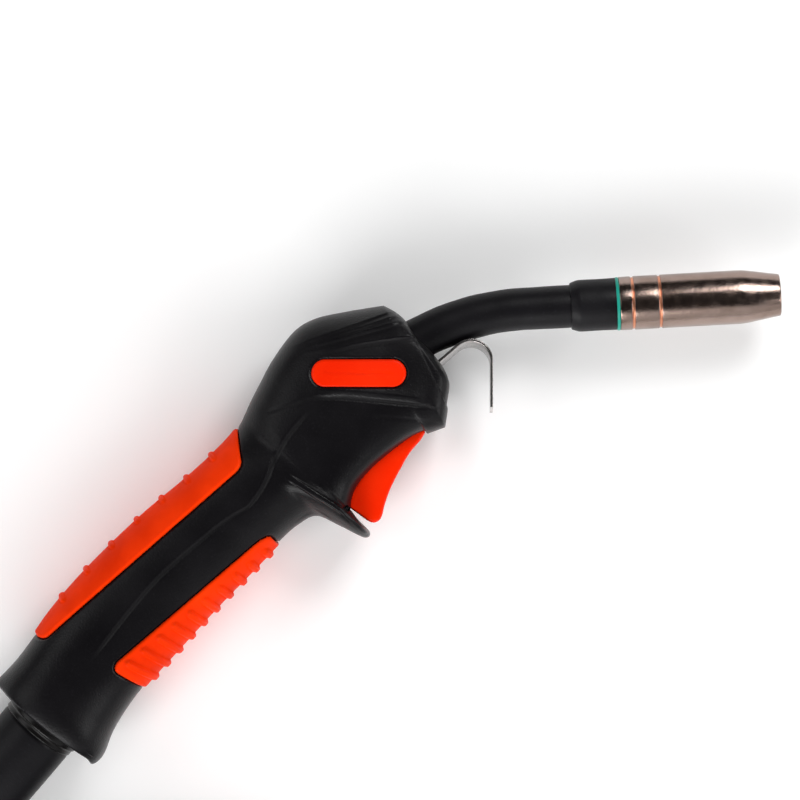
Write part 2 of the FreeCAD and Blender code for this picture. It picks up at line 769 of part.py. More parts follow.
def make_hook():
    """Bent steel strip; its foot sits in the head's front wall."""
    radius = size("hook_radius")
    inner = radius - size("hook_thickness")
    foot_angle = size("hook_foot_angle")
    foot_length = size("hook_foot")
    body = doc.addObject("PartDesign::Body", "hanger_hook")
    sketch = new_sketch(body, "hanger_hook_outline", "XY_Plane")
    slope = direction(foot_angle + 90)
    outer_foot = direction(foot_angle) * radius
    inner_foot = direction(foot_angle) * inner
    drop = Vector(0, -size("hook_drop"), 0)
    outer_side = Vector(radius, 0, 0)
    inner_side = Vector(inner, 0, 0)
    up = Vector(0, 0, 1)
    turn = math.radians(foot_angle)
    sketch.addGeometry(Part.LineSegment(outer_foot + slope * foot_length, outer_foot))
    sketch.addGeometry(Part.ArcOfCircle(Part.Circle(Vector(0, 0, 0), up, radius), 0, turn))
    sketch.addGeometry(Part.LineSegment(outer_side, outer_side + drop))
    sketch.addGeometry(Part.LineSegment(outer_side + drop, inner_side + drop))
    sketch.addGeometry(Part.LineSegment(inner_side + drop, inner_side))
    sketch.addGeometry(Part.ArcOfCircle(Part.Circle(Vector(0, 0, 0), up, inner), 0, turn))
    sketch.addGeometry(Part.LineSegment(inner_foot, inner_foot + slope * foot_length))
    sketch.addGeometry(Part.LineSegment(inner_foot + slope * foot_length,
                                        outer_foot + slope * foot_length))
    joins = [(0, 2, 1, 2), (1, 1, 2, 1), (2, 2, 3, 1), (3, 2, 4, 1), (4, 2, 5, 1), (5, 2, 6, 1),
             (6, 2, 7, 1), (7, 2, 0, 1)]
    for join in joins:
        sketch.addConstraint(Sketcher.Constraint("Coincident", *join))
    sketch.addConstraint(Sketcher.Constraint("Coincident", 1, 3, -1, 1))
    sketch.addConstraint(Sketcher.Constraint("Coincident", 5, 3, -1, 1))
    bind(sketch, "Radius", (1,), "hook_radius")
    bind(sketch, "Radius", (5,), "hook_radius - hook_thickness")
    pad = body.newObject("PartDesign::Pad", "hanger_hook_pad")
    pad.Profile = sketch
    pad.Midplane = True
    pad.setExpression("Length", bound("hook_width"))
    body.Placement = Placement(torch_point(size("hook_x"), size("hook_y")), Rotation())
    return keep(body, "hanger_hook")


# ---------------------------------------------------------------- trigger and switch

def make_trigger():
    base = torch_point(0, 0)
    pivot = torch_point(size("pivot_x"), size("pivot_y"))
    blade = plate_body("trigger_blade", TRIGGER, "trigger_width", Placement(base, Rotation()))
    way = rod("trigger_way", "(pin_od + 2 * pin_play)", "trigger_width + 2",
              Placement(pivot - Vector(0, 0, value("trigger_width / 2 + 1")), Rotation()))
    seat_base = Vector(0, 0, value("trigger_width / 2 - spring_seat_depth"))
    seat = rod("spring_seat", "spring_seat_od", "spring_seat_depth + 1",
               Placement(pivot + seat_base, Rotation()))
    keep(cut("trigger", blade, fuse("trigger_cuts", way, seat)), "trigger")
    pin = rod("trigger_pin", "pin_od", "pin_length",
              Placement(pivot - Vector(0, 0, value("pin_length / 2")), Rotation()))
    keep(pin, "trigger_pin")
    wire = size("trigger_spring_wire")
    spring_base = pivot + Vector(0, 0, value("trigger_width / 2 - spring_seat_depth + spring_seat_gap"))
    spring_length = size("trigger_spring_turns") * SPRING_PITCH * wire
    spring = spring_shape(size("trigger_spring_radius"), wire, spring_length)
    feature("trigger_spring", spring, Placement(spring_base, Rotation()))

    turn = Rotation(Vector(0, 0, 1), HANDLE_HEADING)
    outward = Rotation(Vector(0, 0, 1), direction(HANDLE_HEADING + 90))
    corner = in_handle(size("switch_place"), size("switch_offset"), -value("switch_width / 2"))
    case = block("switch_case", "switch_length", "switch_depth", "switch_width",
                 Placement(corner, turn))
    along = value("switch_place + switch_length / 2")
    face = value("switch_offset + switch_depth")
    way = rod("plunger_way_cut", "(plunger_od + 2 * pin_play)", "plunger_way + 1",
              Placement(in_handle(along, face - size("plunger_way")), outward))
    keep(cut("switch_body", case, way), "switch_body")
    keep(rod("switch_plunger", "plunger_od", "plunger_in + plunger_out",
             Placement(in_handle(along, face - size("plunger_in")), outward)), "switch_plunger")
    blades = []
    wires = []
    case_end = value("switch_place + switch_length")
    blade_middle = size("switch_offset") + 1.5
    for side in (-size("terminal_offset"), size("terminal_offset")):
        root = in_handle(case_end, blade_middle - value("terminal_width / 2"),
                         side - value("terminal_thickness / 2"))
        blades.append(block(f"blade_{len(blades)}", "terminal_length", "terminal_width",
                            "terminal_thickness", Placement(root, turn)))
        end = in_handle(case_end + size("terminal_length"), blade_middle, side)
        wires.append(rod(f"wire_{len(wires)}", "switch_wire_od", "switch_wire_length",
                         Placement(end, Rotation(Vector(0, 0, 1), direction(HANDLE_HEADING)))))
    keep(fuse("switch_terminals", *blades), "switch_terminals")
    keep(fuse("switch_wires", *wires), "switch_wires")


# ---------------------------------------------------------------- ball joint and boot

BALL_REAR, BALL_FRONT = -45, 52  # latitudes where the ball is cut flat, from its own equator


def boot_dip():
    """Dip of the boot that brings the cable down to the floor at the end of its first run."""
    drop = value("mid_height - cable_od / 2 - floor_gap")
    return math.degrees(math.asin(drop / value("boot_end + first_run")))


def make_ball_joint():
    heading = size("boot_heading")
    dip = boot_dip()
    axis = direction(heading, dip)
    here = along_x(BALL, heading, dip)
    ball = doc.addObject("Part::Sphere", "ball")
    ball.setExpression("Radius", bound("ball_radius"))
    ball.Angle1 = BALL_REAR
    ball.Angle2 = BALL_FRONT
    ball.Placement = Placement(BALL, Rotation(Vector(0, 0, 1), axis))
    collar = turned_body("ball_collar", [
        ("ball_collar_start / 2", "0"),
        ("ball_collar_end", "0"),
        ("ball_collar_end", "ball_collar_od / 2"),
        ("ball_collar_start", "ball_collar_od / 2"),
        ("ball_collar_start", "cable_od / 2"),
        ("ball_collar_start / 2", "cable_od / 2"),
    ], here)
    keep(fuse("cable_ball", ball, collar), "cable_ball")

    ring = rod("socket_blank", "socket_od", "socket_half * 2",
               Placement(BALL + direction(HANDLE_HEADING) * -size("socket_half"),
                         Rotation(Vector(0, 0, 1), direction(HANDLE_HEADING))))
    room = doc.addObject("Part::Sphere", "socket_room")
    room.setExpression("Radius", bound("ball_radius + ball_gap"))
    room.Placement = Placement(BALL, Rotation(Vector(0, 0, 1), direction(HANDLE_HEADING)))
    keep(cut("ball_socket", ring, room), "ball_socket")

    turned("cable_boot", [
        ("ball_collar_end", "0"),
        ("boot_end", "0"),
        ("boot_end", "boot_end_od / 2"),
        ("boot_straight", "boot_od / 2"),
        ("ball_collar_end", "boot_od / 2"),
    ], here)


# ---------------------------------------------------------------- cable, coil and plug

ARC_SHARE = 0.45  # share of the shorter run that an arc takes
LEAD_RUNS = [(249.6, 39), (269.6, 39), (289.6, 32)]  # heading and length, after the first run


def route_wire(points):
    """Straight runs joined by tangent arcs as large as the runs allow; returns wire and radii."""
    edges = []
    radii = []
    start = points[0]
    for before, corner, after in zip(points, points[1:], points[2:]):
        come = corner - before
        go = after - corner
        half_turn = come.getAngle(go) / 2
        back = ARC_SHARE * min(come.Length, go.Length)
        radii.append(back / math.tan(half_turn))
        first = corner - come.normalize() * back
        last = corner + go.normalize() * back
        bisector = (go - come).normalize()
        middle = corner + bisector * (radii[-1] / math.cos(half_turn) - radii[-1])
        edges.append(Part.LineSegment(start, first).toShape())
        edges.append(Part.Arc(first, middle, last).toShape())
        start = last
    edges.append(Part.LineSegment(start, points[-1]).toShape())
    return Part.Wire(edges), radii


def cable_tube(label, points):
    wire, radii = route_wire(points)
    radius = size("cable_od") / 2
    ring = Part.makeCircle(radius, points[0], (points[1] - points[0]))
    tube = wire.makePipeShell([Part.Wire(ring)], True, False)
    section = math.pi * radius ** 2
    print(label, "length", round(wire.Length, 1), "radii", [round(item) for item in radii])
    print(label, "volume over section times length", round(tube.Volume / section / wire.Length, 4))
    return feature(label, tube, Placement())


def make_cable():
    heading = size("boot_heading")
    start = BALL + direction(heading, boot_dip()) * size("boot_end")
    low = value("cable_od / 2 + floor_gap")
    # lead from the boot, down to the floor and on to the coil's outer lane
    points = [start, start + direction(heading, boot_dip()) * size("first_run")]
    place = start + direction(heading) * size("first_run")
    for turn, length in LEAD_RUNS:
        place = place + direction(turn) * length
        points.append(Vector(place.x, place.y, low))
    cable_tube("cable", points)

    # the coil: two inner lanes two cables high, and an outer lane that stops where the lead comes in
    last_heading = LEAD_RUNS[-1][0]
    centre = points[-1] + direction(last_heading + 90) * value("lane_inner + 2 * lane_step")
    upright = Rotation(Vector(1, 0, 0), Vector(0, 0, 1))
    floor_centre = Vector(centre.x, centre.y, 0)
    lanes = turned_body("coil_lanes", [
        ("0", "lane_inner - cable_od / 2"),
        ("2 * cable_od", "lane_inner - cable_od / 2"),
        ("2 * cable_od", "lane_inner + lane_step + cable_od / 2"),
        ("0", "lane_inner + lane_step + cable_od / 2"),
    ], Placement(floor_centre, upright))
    outside = turned_body("coil_outside", [
        ("0", "lane_inner + lane_step"),
        ("cable_od", "lane_inner + lane_step"),
        ("cable_od", "lane_inner + 2 * lane_step + cable_od / 2"),
        ("0", "lane_inner + 2 * lane_step + cable_od / 2"),
    ], Placement(floor_centre, upright))
    outside.Tip.setExpression("Angle", bound("outer_lane_span"))
    start_angle = last_heading - 90
    drawn_at = upright.multVec(Vector(0, 1, 0))
    drawn_angle = math.degrees(math.atan2(drawn_at.y, drawn_at.x))
    outside.Placement = Placement(
        floor_centre, Rotation(Vector(0, 0, 1), start_angle - drawn_angle) * upright)
    keep(fuse("cable_coil", lanes, outside), "cable_coil")

    plug_height = size("nut_od") / 2
    lane = value("lane_inner + lane_step")
    leave = Vector(centre.x, centre.y - lane, value("1.5 * cable_od"))
    plug_at = Vector(leave.x + size("plug_start"), leave.y - 0.8, plug_height)
    tail = [leave, leave + Vector(30, 0, -0.4), plug_at - Vector(32, 0, 0), plug_at]
    cable_tube("cable_tail", tail)
    make_plug(tail[-1])


def make_plug(start):
    """Central plug: boot, housing, loose nut, brass core with its pin, nipple and contacts."""
    here = along_x(start, 0)
    end = "plug_boot_length + housing_length"
    shoulder = "housing_od / 2 - housing_shoulder"
    turned("plug_boot", [
        ("0", "0"),
        ("plug_boot_length", "0"),
        ("plug_boot_length", "plug_boot_od / 2 + 3"),
        ("0", "plug_boot_od / 2 - 0.5"),
    ], here)
    turned("plug_housing", [
        ("plug_boot_length", "0"),
        ("plug_boot_length + housing_wall", "0"),
        ("plug_boot_length + housing_wall", "plug_core_od / 2"),
        (end, "plug_core_od / 2"),
        (end, shoulder),
        (end + " - housing_mouth", shoulder),
        (end + " - housing_mouth", "housing_od / 2"),
        ("plug_boot_length + housing_slope", "housing_od / 2"),
        ("plug_boot_length", shoulder),
    ], here)
    core = turned_body("plug_core_blank", [
        ("plug_boot_length + housing_wall", "0"),
        (end + " + core_face", "0"),
        (end + " + core_face", "plug_core_od / 2"),
        (end + " + core_collar_end", "plug_core_od / 2"),
        (end + " + core_collar_end", "nut_bore / 2 - core_collar_play"),
        (end + " + core_collar_start", "nut_bore / 2 - core_collar_play"),
        (end + " + core_collar_start", "plug_core_od / 2"),
        ("plug_boot_length + housing_wall", "plug_core_od / 2"),
    ], here)
    turned("plug_nut", [
        (end + " + nut_play", "plug_core_od / 2 + nut_play"),
        (end + " + nut_play + nut_web", "plug_core_od / 2 + nut_play"),
        (end + " + nut_play + nut_web", "nut_bore / 2"),
        (end + " + nut_length", "nut_bore / 2"),
        (end + " + nut_length", "nut_od / 2 - nut_bevel"),
        (end + " + nut_length - nut_bevel", "nut_od / 2"),
        (end + " + nut_play + nut_bevel", "nut_od / 2"),
        (end + " + nut_play", "nut_od / 2 - nut_bevel"),
    ], here)
    face = start + Vector(value(end + " + core_face"), 0, 0)
    forward = Rotation(Vector(0, 0, 1), Vector(1, 0, 0))
    keep(rod("plug_pin", "plug_pin_od", "plug_pin_length", Placement(face, forward)), "plug_pin")
    tip = face + Vector(size("plug_pin_length"), 0, 0)
    liner_nut = doc.addObject("Part::Prism", "liner_nut")
    liner_nut.Polygon = 6
    liner_nut.setExpression("Circumradius", bound("liner_nut_circumradius"))
    liner_nut.setExpression("Height", bound("liner_nut_height"))
    keep(liner_nut, "liner_nut", Placement(tip, forward))
    up = Vector(0, 0, size("nipple_offset"))
    nipple = rod("nipple_blank", "nipple_od", "nipple_length", Placement(face + up, forward))
    rings = []
    for label in ("nipple_o_ring", "seal_groove"):
        ring = doc.addObject("Part::Torus", label)
        ring.setExpression("Radius1", bound("nipple_od / 2"))
        ring.setExpression("Radius2", bound("seal_wire / 2"))
        ring.Placement = Placement(face + up + Vector(size("seal_place"), 0, 0), forward)
        rings.append(ring)
    seal, groove = rings
    keep(cut("gas_nipple", nipple, groove), "gas_nipple")
    keep(seal, "nipple_o_ring")
    half = math.radians(size("control_pin_half_angle"))
    ways = []
    for number, side in ((1, -1), (2, 1)):
        offset = Vector(0, side * math.sin(half), -math.cos(half)) * size("control_pin_offset")
        back = Vector(size("control_pin_in"), 0, 0)
        pin = rod(f"control_pin_{number}", "control_pin_od", "control_pin_in + control_pin_out",
                  Placement(face + offset - back, forward))
        keep(pin, f"control_pin_{number}")
        depth = Vector(size("control_pin_way"), 0, 0)
        ways.append(rod(f"control_way_{number}", "(control_pin_od + 2 * pin_play)",
                        "control_pin_way + 1", Placement(face + offset - depth, forward)))
    keep(cut("plug_core", core, fuse("control_ways", *ways)), "plug_core")


# ---------------------------------------------------------------- the torch

make_nozzle_end()
make_neck()
make_handle_core()
hook_body = make_hook()
doc.recompute()
make_handle()
make_trigger()
make_ball_joint()
make_cable()
doc.recompute()

for obj in doc.Objects:
    if any(word in obj.State for word in ("Invalid", "Error")):
        raise RuntimeError(f"{obj.Label} failed: {obj.State}")
for obj in parts:
    if obj.Shape.isNull() or not obj.Shape.isValid():
        raise RuntimeError(f"{obj.Label} has no valid shape")

os.makedirs("parts", exist_ok=True)
for obj in parts:
    obj.Shape.exportStep(f"parts/{obj.Label}.step")
    print(obj.Label, "solids", len(obj.Shape.Solids), "volume", round(obj.Shape.Volume, 1))
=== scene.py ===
import json
import math

import bmesh
import bpy
import numpy as np
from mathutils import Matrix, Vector


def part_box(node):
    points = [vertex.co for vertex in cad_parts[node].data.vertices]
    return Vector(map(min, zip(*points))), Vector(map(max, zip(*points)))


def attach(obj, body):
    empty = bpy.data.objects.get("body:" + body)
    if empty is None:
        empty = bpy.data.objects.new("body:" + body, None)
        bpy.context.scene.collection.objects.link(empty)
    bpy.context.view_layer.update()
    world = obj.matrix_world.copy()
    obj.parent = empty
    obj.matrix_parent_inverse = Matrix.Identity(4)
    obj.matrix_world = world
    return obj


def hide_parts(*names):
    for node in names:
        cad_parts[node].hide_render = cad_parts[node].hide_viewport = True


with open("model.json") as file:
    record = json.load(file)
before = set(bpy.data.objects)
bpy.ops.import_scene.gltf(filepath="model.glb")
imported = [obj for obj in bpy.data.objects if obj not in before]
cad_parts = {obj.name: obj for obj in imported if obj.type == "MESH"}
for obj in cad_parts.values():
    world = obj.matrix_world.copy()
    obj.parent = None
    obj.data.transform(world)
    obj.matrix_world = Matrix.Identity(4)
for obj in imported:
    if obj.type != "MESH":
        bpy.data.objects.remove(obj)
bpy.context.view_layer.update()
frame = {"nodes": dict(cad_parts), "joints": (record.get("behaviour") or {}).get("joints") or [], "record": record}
scene = bpy.context.scene

MM = 0.001
UP = Vector((0, 0, 1))


# ---- curves, and places from the frame

def blend_between(value, low, high):
    """Smooth step from 0 at low to 1 at high."""
    part = np.clip((np.asarray(value, float) - low) / (high - low), 0, 1)
    return part * part * (3 - 2 * part)


def quarter_round(value, radius):
    """Quarter circle that rises from 0 at value 0 and is level at 1 from the radius on."""
    return np.sqrt(1 - (1 - np.clip(value / radius, 0, 1)) ** 2)


def middle(node):
    """Centre of a CAD node's box."""
    low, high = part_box(node)
    return (low + high) / 2


MID_Z = middle("gas_nozzle").z          # height of the torch's symmetry plane
CABLE_OD = 16 * MM


# ---- camera

VIEW_WIDTH = 266.7 * MM                 # what the picture spans at the symmetry plane
VIEW_CENTRE = Vector((3.26 * MM, 39.33 * MM, MID_Z))
CAMERA_HEIGHT = 1.5
camera_data = bpy.data.cameras.new("camera")
camera_data.sensor_width = 36
camera_data.lens = camera_data.sensor_width * CAMERA_HEIGHT / VIEW_WIDTH
camera_data.clip_start = 0.01
camera = bpy.data.objects.new("camera", camera_data)
camera.location = VIEW_CENTRE + UP * CAMERA_HEIGHT
scene.collection.objects.link(camera)
scene.camera = camera


# ---- the cable

# Route from the boot to the coil and from the coil to the plug, in mm.
LEAD = [
    (-172.54, -135.36, 11.37),
    (-198.37, -165.72, 8.05),
    (-212.06, -202.38, 8.05),
    (-212.33, -241.38, 8.05),
    (-201.59, -271.52, 8.05),
]
TAIL = [
    (-67.03, -329.29, 23.6),
    (-37.03, -330.09, 21.0),
    (-5.03, -330.09, 21.0),
]
COIL_CENTRE = (-97.03, -234.29)
LANES = (79, 95, 111)                   # radii of the turns
LOW, HIGH = 8.05, 24.05                 # heights of the two layers
COIL_START, COIL_END = 199.6, 1710      # position angles, anticlockwise, in degrees
TO_MIDDLE, TO_INNER, BACK_OUT = (430, 500), (790, 860), (1370, 1440)      # where it changes lane
CLIMB = (1080, 1150)                    # and layer
POINTS_PER_TURN = 16


def coil_point(angle):
    """Control point of the coil: turns go in lane by lane, climb, and come out again on top."""
    inner, lane, outer = LANES
    radius = outer + (lane - outer) * blend_between(angle, *TO_MIDDLE)
    radius += (inner - lane) * blend_between(angle, *TO_INNER)
    radius += (lane - inner) * blend_between(angle, *BACK_OUT)
    height = LOW + (HIGH - LOW) * blend_between(angle, *CLIMB)
    radius /= math.cos(math.pi / POINTS_PER_TURN)       # the curve passes inside its control points
    turn = math.radians(angle)
    return (COIL_CENTRE[0] + radius * math.cos(turn), COIL_CENTRE[1] + radius * math.sin(turn), height)


def make_cable():
    """One curve through the whole route, as thick as the cable."""
    count = round((COIL_END - COIL_START) * POINTS_PER_TURN / 360)
    step = (COIL_END - COIL_START) / count
    turns = [coil_point(COIL_START + step * (index + 0.5)) for index in range(count)]
    route = LEAD[:-1] + turns + TAIL
    data = bpy.data.curves.new("torch_cable", "CURVE")
    data.dimensions = "3D"
    spline = data.splines.new("NURBS")
    spline.points.add(len(route) - 1)
    for point, place in zip(spline.points, route):
        point.co = (place[0] * MM, place[1] * MM, place[2] * MM, 1)
        point.radius = CABLE_OD / 2
    spline.order_u = 3
    spline.use_endpoint_u = True
    spline.resolution_u = 6
    data.bevel_depth = 1.0              # times each point's radius
    data.bevel_resolution = 8
    data.use_fill_caps = True
    cable = bpy.data.objects.new("torch_cable", data)
    scene.collection.objects.link(cable)
    return cable


torch_cable = make_cable()


# ---- materials

def shader(name, colour, roughness, metallic=0.0, **sockets):
    """New material with its constants set on the shader; returns what the node builders need."""
    material = bpy.data.materials.new(name)
    material.use_nodes = True
    tree = material.node_tree
    surface = tree.nodes["Principled BSDF"]
    surface.inputs["Base Color"].default_value = (*colour, 1)
    surface.inputs["Roughness"].default_value = roughness
    surface.inputs["Metallic"].default_value = metallic
    for socket, value in sockets.items():
        surface.inputs[socket.replace("_", " ")].default_value = value
    return material, tree, surface


def place_node(tree, kind, **values):
    """New node with its sockets or settings set."""
    node = tree.nodes.new(kind)
    for name, value in values.items():
        if name in node.inputs:
            node.inputs[name].default_value = value
        else:
            setattr(node, name, value)
    return node


def coordinates(tree):
    """Place on the object in metres."""
    return tree.nodes.new("ShaderNodeTexCoord").outputs["Object"]


def noise(tree, vector, size, detail=3.0):
    """Noise whose features are about that many millimetres across."""
    node = place_node(tree, "ShaderNodeTexNoise", Scale=1 / (size * MM), Detail=detail)
    tree.links.new(vector, node.inputs["Vector"])
    return node.outputs["Fac"]


def ranged(tree, value, low, high, to_low, to_high):
    """A socket's value carried from one range to another, and held at its ends."""
    node = place_node(tree, "ShaderNodeMapRange")
    for index, number in enumerate((low, high, to_low, to_high), start=1):
        node.inputs[index].default_value = number
    tree.links.new(value, node.inputs[0])
    return node.outputs[0]


def mixed(tree, factor, first, second):
    """Colour between two; each is a colour or a socket."""
    node = place_node(tree, "ShaderNodeMix", data_type="RGBA")
    for socket, value in ((node.inputs[6], first), (node.inputs[7], second)):
        if isinstance(value, bpy.types.NodeSocket):
            tree.links.new(value, socket)
        else:
            socket.default_value = (*value, 1)
    tree.links.new(factor, node.inputs[0])
    return node.outputs[2]


def bumped(tree, surface, layers):
    """Bump of several heights: pairs of a height socket and its depth in millimetres."""
    normal = None
    for height, depth in layers:
        node = place_node(tree, "ShaderNodeBump", Strength=1.0, Distance=depth * MM)
        tree.links.new(height, node.inputs["Height"])
        if normal:
            tree.links.new(normal, node.inputs["Normal"])
        normal = node.outputs["Normal"]
    tree.links.new(normal, surface.inputs["Normal"])


def product(tree, first, second):
    """Two sockets multiplied."""
    node = place_node(tree, "ShaderNodeMath", operation="MULTIPLY")
    tree.links.new(first, node.inputs[0])
    tree.links.new(second, node.inputs[1])
    return node.outputs[0]


# What the mesh's own curvature reads in creases, on handled crests and on rubbed edges, and how much
# rougher the creases and smoother the crests are than the rest.
CREASES, CRESTS, EDGES = (0.43, 0.495), (0.503, 0.54), (0.53, 0.60)
CREASE_ROUGHER, CREST_SMOOTHER = 2.4, 0.7


def moulded(name, colour, worn, roughness, grain, depth, specular):
    """Moulded plastic or rubber: spark-eroded grain, cloudiness, dull creases, glossy rubbed crests."""
    material, tree, surface = shader(name, colour, roughness, Specular_IOR_Level=specular)
    place = coordinates(tree)
    curvature = tree.nodes.new("ShaderNodeNewGeometry").outputs["Pointiness"]
    fine = noise(tree, place, grain, 2.0)
    pale = tuple(min(1.0, part * 1.35 + 0.001) for part in colour)
    base = mixed(tree, ranged(tree, noise(tree, place, 14), 0.35, 0.7, 0, 1), colour, pale)
    base = mixed(tree, ranged(tree, fine, 0.62, 0.75, 0, 0.5), base, worn)
    patches = ranged(tree, noise(tree, place, 5), 0.4, 0.7, 0.1, 0.8)
    base = mixed(tree, product(tree, ranged(tree, curvature, *EDGES, 0, 1), patches), base, worn)
    tree.links.new(base, surface.inputs["Base Color"])
    smear = ranged(tree, noise(tree, place, 30, 4.0), 0.3, 0.75, roughness - 0.06, roughness + 0.1)
    crease = ranged(tree, curvature, *CREASES, CREASE_ROUGHER, 1.0)
    crest = ranged(tree, curvature, *CRESTS, 1.0, CREST_SMOOTHER)
    tree.links.new(product(tree, smear, product(tree, crease, crest)), surface.inputs["Roughness"])
    bumped(tree, surface, [(fine, depth), (noise(tree, place, 6), 0.08)])
    return material


def plated(name, colour, dark, roughness, peel=0.9, depth=0.02):
    """Bright plated metal: orange peel, tiny dark pits, tarnish in patches."""
    material, tree, surface = shader(name, colour, roughness, metallic=1.0)
    place = coordinates(tree)
    pits = noise(tree, place, 0.35, 2.0)
    base = mixed(tree, ranged(tree, noise(tree, place, 9, 4.0), 0.4, 0.75, 0, 0.45), colour, dark)
    base = mixed(tree, ranged(tree, pits, 0.64, 0.72, 0, 0.6), base, dark)
    tree.links.new(base, surface.inputs["Base Color"])
    tree.links.new(ranged(tree, noise(tree, place, 3), 0.3, 0.7, roughness, roughness + 0.12),
                   surface.inputs["Roughness"])
    bumped(tree, surface, [(pits, depth), (noise(tree, place, peel), depth * 1.6)])
    return material


# The material of each slot in the record.
FINISHES = {
    "handle_black": moulded("black_nylon", (0.0032, 0.0028, 0.0036), (0.016, 0.015, 0.018), 0.36,
                            grain=0.55, depth=0.09, specular=0.19),
    "grip_orange": moulded("orange_grip", (0.84, 0.030, 0.0002), (0.90, 0.055, 0.002), 0.55,
                           grain=0.6, depth=0.03, specular=0.04),
    "trigger_orange": moulded("orange_gloss", (0.96, 0.019, 0.0002), (0.96, 0.045, 0.004), 0.34,
                              grain=0.8, depth=0.012, specular=0.07),
    "rubber_black": moulded("black_rubber", (0.0042, 0.0038, 0.0050), (0.016, 0.015, 0.019), 0.46,
                            grain=0.7, depth=0.05, specular=0.18),
    "ball_black": moulded("black_shine", (0.004, 0.0035, 0.0035), (0.02, 0.02, 0.02), 0.3,
                          grain=0.9, depth=0.015, specular=0.25),
    "insulator_teal": moulded("teal_nylon", (0.015, 0.33, 0.25), (0.12, 0.5, 0.42), 0.38,
                              grain=0.5, depth=0.02, specular=0.25),
    "nozzle_nickel": plated("nickel_plate", (0.36, 0.27, 0.235), (0.14, 0.085, 0.055), 0.14, depth=0.03),
    "steel_bright": plated("bright_steel", (0.60, 0.57, 0.56), (0.20, 0.18, 0.17), 0.16, peel=0.6,
                           depth=0.03),
    "brass": plated("brass", (0.72, 0.50, 0.20), (0.32, 0.20, 0.08), 0.22),
    "copper": plated("copper", (0.80, 0.36, 0.22), (0.38, 0.14, 0.08), 0.25),
}
FINISHES["badge_orange"] = FINISHES["trigger_orange"]
FINISHES["connector_black"] = FINISHES["handle_black"]


# ---- meshes

def mesh_object(name, vertices, faces):
    """New smooth-shaded mesh in the scene."""
    data = bpy.data.meshes.new(name)
    data.from_pydata([tuple(float(part) for part in point) for point in vertices], [], faces)
    data.validate()
    piece = bpy.data.objects.new(name, data)
    scene.collection.objects.link(piece)
    data.polygons.foreach_set("use_smooth", [True] * len(data.polygons))
    return piece


def grid_faces(rows, columns, close_rows=False, close_columns=False, flip=False):
    """Squares between the rows and columns of a grid of points."""
    faces = []
    for row in range(rows if close_rows else rows - 1):
        for column in range(columns if close_columns else columns - 1):
            below = (row + 1) % rows
            beside = (column + 1) % columns
            face = (row * columns + column, row * columns + beside,
                    below * columns + beside, below * columns + column)
            faces.append(face[::-1] if flip else face)
    return faces


def end_faces(rows, columns):
    """The two faces that close a tube made of rows."""
    last = (rows - 1) * columns
    return [tuple(range(columns)), tuple(last + step for step in reversed(range(columns)))]


def in_row_frame(points, side=1):
    """From mm about the symmetry plane to metres in the row frame; a side of -1 mirrors them."""
    return points * np.array([1, 1, side]) * MM + np.array([0, 0, MID_Z])


def applied(piece, kind, **settings):
    """Adds one modifier and makes its result the piece's mesh."""
    modifier = piece.modifiers.new(kind.lower(), kind)
    for name, value in settings.items():
        setattr(modifier, name, value)
    graph = bpy.context.evaluated_depsgraph_get()
    data = bpy.data.meshes.new_from_object(piece.evaluated_get(graph))
    piece.modifiers.clear()
    old = piece.data
    piece.data = data
    bpy.data.meshes.remove(old)
    return piece


def outward(piece):
    """Faces turned outwards, doubled points joined."""
    mesh = bmesh.new()
    mesh.from_mesh(piece.data)
    bmesh.ops.remove_doubles(mesh, verts=mesh.verts, dist=1e-6)
    bmesh.ops.recalc_face_normals(mesh, faces=mesh.faces)
    mesh.to_mesh(piece.data)
    mesh.free()
    return piece


def flat_direction(turn):
    """Direction in the floor's plane, at that angle from the x axis."""
    return Vector((math.cos(turn), math.sin(turn), 0))


def corner_arc(before, corner, after, size, steps):
    """Points that round one corner of a line, or the corner itself where the size is nothing."""
    come, go = corner - before, after - corner
    size = min(size, come.length * 0.45, go.length * 0.45)
    if size <= 0:
        return [corner]
    first = corner - come.normalized() * size
    last = corner + go.normalized() * size
    shares = [step / steps for step in range(steps + 1)]
    return [first.lerp(corner, share).lerp(corner.lerp(last, share), share) for share in shares]


def rounded(profile, steps=4):
    """Open profile with its corners rounded: each point is (along, radius, rounding)."""
    places = [Vector(point[:2]) for point in profile]
    out = [places[0]]
    for index in range(1, len(places) - 1):
        out += corner_arc(*places[index - 1:index + 2], profile[index][2], steps)
    return out + [places[-1]]


def lathe(name, profile, start, axis, around=96, reshape=None, soft=0.5):
    """Turned piece: profile of (along, radius, rounding) in mm, from a start point, along an axis."""
    profile = [point if len(point) > 2 else (*point, soft) for point in profile]
    line = rounded(profile)
    axis = Vector(axis).normalized()
    side = axis.orthogonal().normalized() if abs(axis.z) > 0.9 else UP.cross(axis).normalized()
    upward = axis.cross(side)
    vertices = []
    for point in line:
        for step in range(around):
            turn = 2 * math.pi * step / around
            radius = reshape(point.x, point.y, turn) if reshape else point.y
            vertices.append(start + (axis * point.x + side * radius * math.cos(turn)
                                     + upward * radius * math.sin(turn)) * MM)
    closed = profile[0][:2] == profile[-1][:2]
    rows = len(line) - closed
    faces = grid_faces(rows, around, close_rows=closed, close_columns=True)
    if not closed:
        faces += end_faces(rows, around)
    return outward(mesh_object(name, vertices[:rows * around], faces))


def placed(piece, body, slot, *nodes):
    """Puts a piece under its body, hides the CAD nodes that it replaces, and gives it the slot's material."""
    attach(piece, body)
    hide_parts(*nodes)
    piece.data.materials.append(FINISHES[slot])


# ---- the handle's surface

